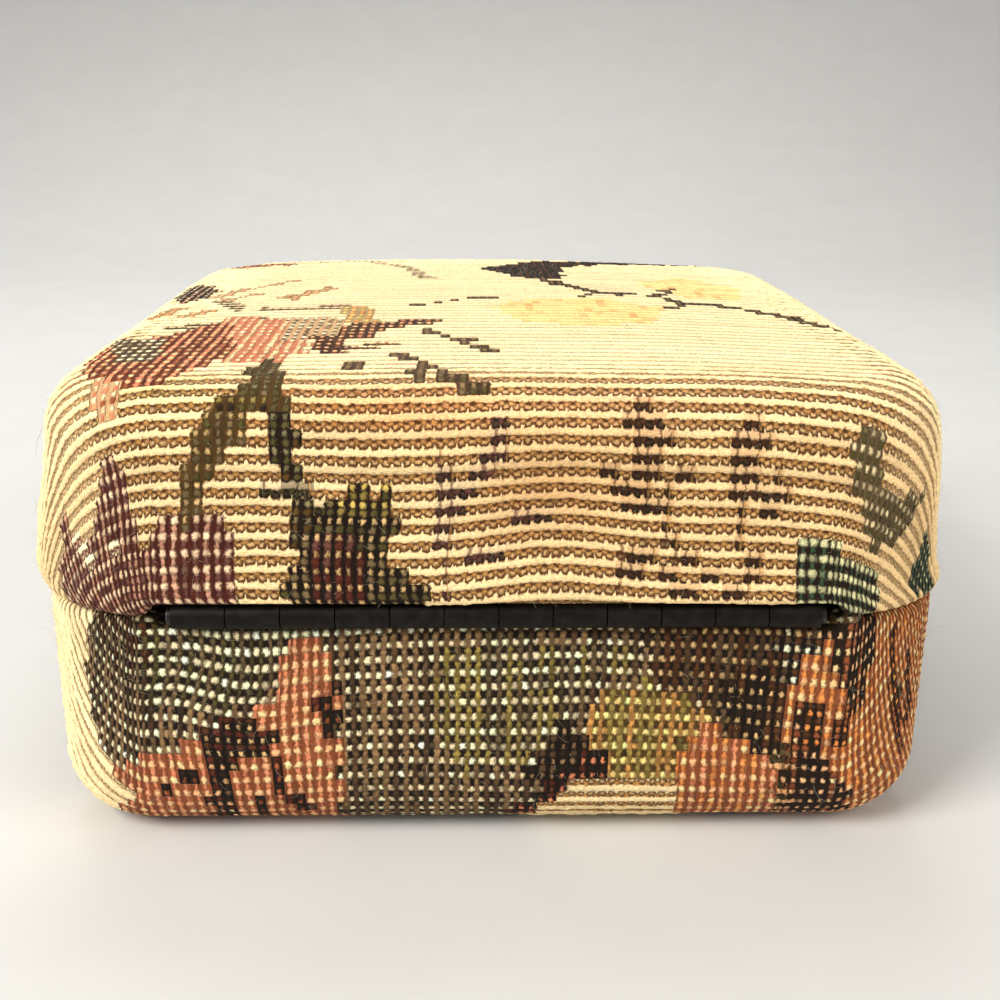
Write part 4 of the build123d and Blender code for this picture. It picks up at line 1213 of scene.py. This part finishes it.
for material, nodes in (
        (makeMetal("blackLacquer"), ("base_frame", "lid_frame")),
        (makeMetal("blackenedSteel"), ("hinge_pin",)), (makeMetal("bluedSpring"), ("snap_spring",)),
        (makeBoard("mouldedShell"), ("base_shell", "lid_shell")),
        (makeBoard("greyBoard"), ("floor_card", "lid_card"))):
    for node in nodes:
        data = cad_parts[node].data
        for k in range(len(data.materials)):
            data.materials[k] = material
print("hard pieces finished")

# the camera that was fitted to the photograph; focal is in the photograph's own pixels
view = {
    "place": (3.517, 152.539, 71.259), "pitch": 18.203, "yaw": 1.865, "roll": 0.629, "focal": 1277.739,
    "picture": 1000, "sensor": 36, "nearest": 0.005,
}


def aimCamera():
    data = bpy.data.cameras.new("photoView")
    camera = bpy.data.objects.new("photoView", data)
    bpy.context.scene.collection.objects.link(camera)
    pitch, yaw, roll = (math.radians(view[k]) for k in ("pitch", "yaw", "roll"))
    forward = Vector((-math.sin(yaw) * math.cos(pitch), -math.cos(yaw) * math.cos(pitch), -math.sin(pitch)))
    right = forward.cross(Vector((0, 0, 1))).normalized()
    up = right.cross(forward)
    turned = right * math.cos(roll) + up * math.sin(roll)
    up = up * math.cos(roll) - right * math.sin(roll)
    facing = Matrix((turned, up, -forward)).transposed().to_4x4()
    camera.matrix_world = Matrix.Translation(Vector(view["place"]) * mm) @ facing
    data.sensor_width = view["sensor"]
    data.lens = view["focal"] * view["sensor"] / view["picture"]
    data.clip_start = view["nearest"]
    bpy.context.scene.camera = camera


aimCamera()

stage = {"half": 2500, "bendStart": -330, "bend": 420, "high": 2200, "near": 2500, "roughness": 0.7,
         "mottle": 60.0, "dark": (0.62, 0.62, 0.61), "light": (0.68, 0.68, 0.67)}


def makeStage():
    # a floor that curves up behind the box, so that no horizon shows
    path = [(stage["near"], 0.0), (0.0, 0.0), (stage["bendStart"], 0.0)]
    for k in range(1, 25):
        angle = math.pi / 2 * k / 24
        path.append((stage["bendStart"] - stage["bend"] * math.sin(angle),
                     stage["bend"] * (1 - math.cos(angle))))
    path.append((path[-1][0], stage["high"]))
    points = [(x, y, z) for y, z in path for x in (-stage["half"], stage["half"])]
    faces = [(2 * k, 2 * k + 1, 2 * k + 3, 2 * k + 2) for k in range(len(path) - 1)]
    material, n, shader = newMaterial("paleFloor", stage["roughness"])
    n.put(shader.inputs["Base Color"],
          n.mix(n.noise(n.place(), stage["mottle"]), stage["dark"], stage["light"]))
    return addMesh("floor", points, faces, material)


makeStage()

lights = {
    "key": {"place": (360, 300, 400), "size": 260, "power": 3.7, "color": (1.0, 0.97, 0.92)},
    "fill": {"place": (-420, 240, 240), "size": 360, "power": 1.25, "color": (1.0, 0.95, 0.86)},
    "back": {"place": (40, -300, 420), "size": 420, "power": 1.4, "color": (1.0, 0.99, 0.97)},
}
studio = {"aim": (0, 0, 25), "color": (0.9, 0.89, 0.87), "strength": 0.42}
for name, light in lights.items():
    data = bpy.data.lights.new(name, "AREA")
    data.energy, data.color, data.size = light["power"], light["color"], light["size"] * mm
    lamp = bpy.data.objects.new(name, data)
    lamp.location = Vector(light["place"]) * mm
    towards = Vector(studio["aim"]) * mm - lamp.location
    lamp.rotation_euler = towards.to_track_quat("-Z", "Y").to_euler()
    bpy.context.scene.collection.objects.link(lamp)
world = bpy.data.worlds.new("studio")
world.use_nodes = True
background = world.node_tree.nodes["Background"]
background.inputs[0].default_value = (*studio["color"], 1)
background.inputs[1].default_value = studio["strength"]
bpy.context.scene.world = world
bpy.context.scene.view_settings.view_transform = "Standard"
print("camera, floor and lights placed")
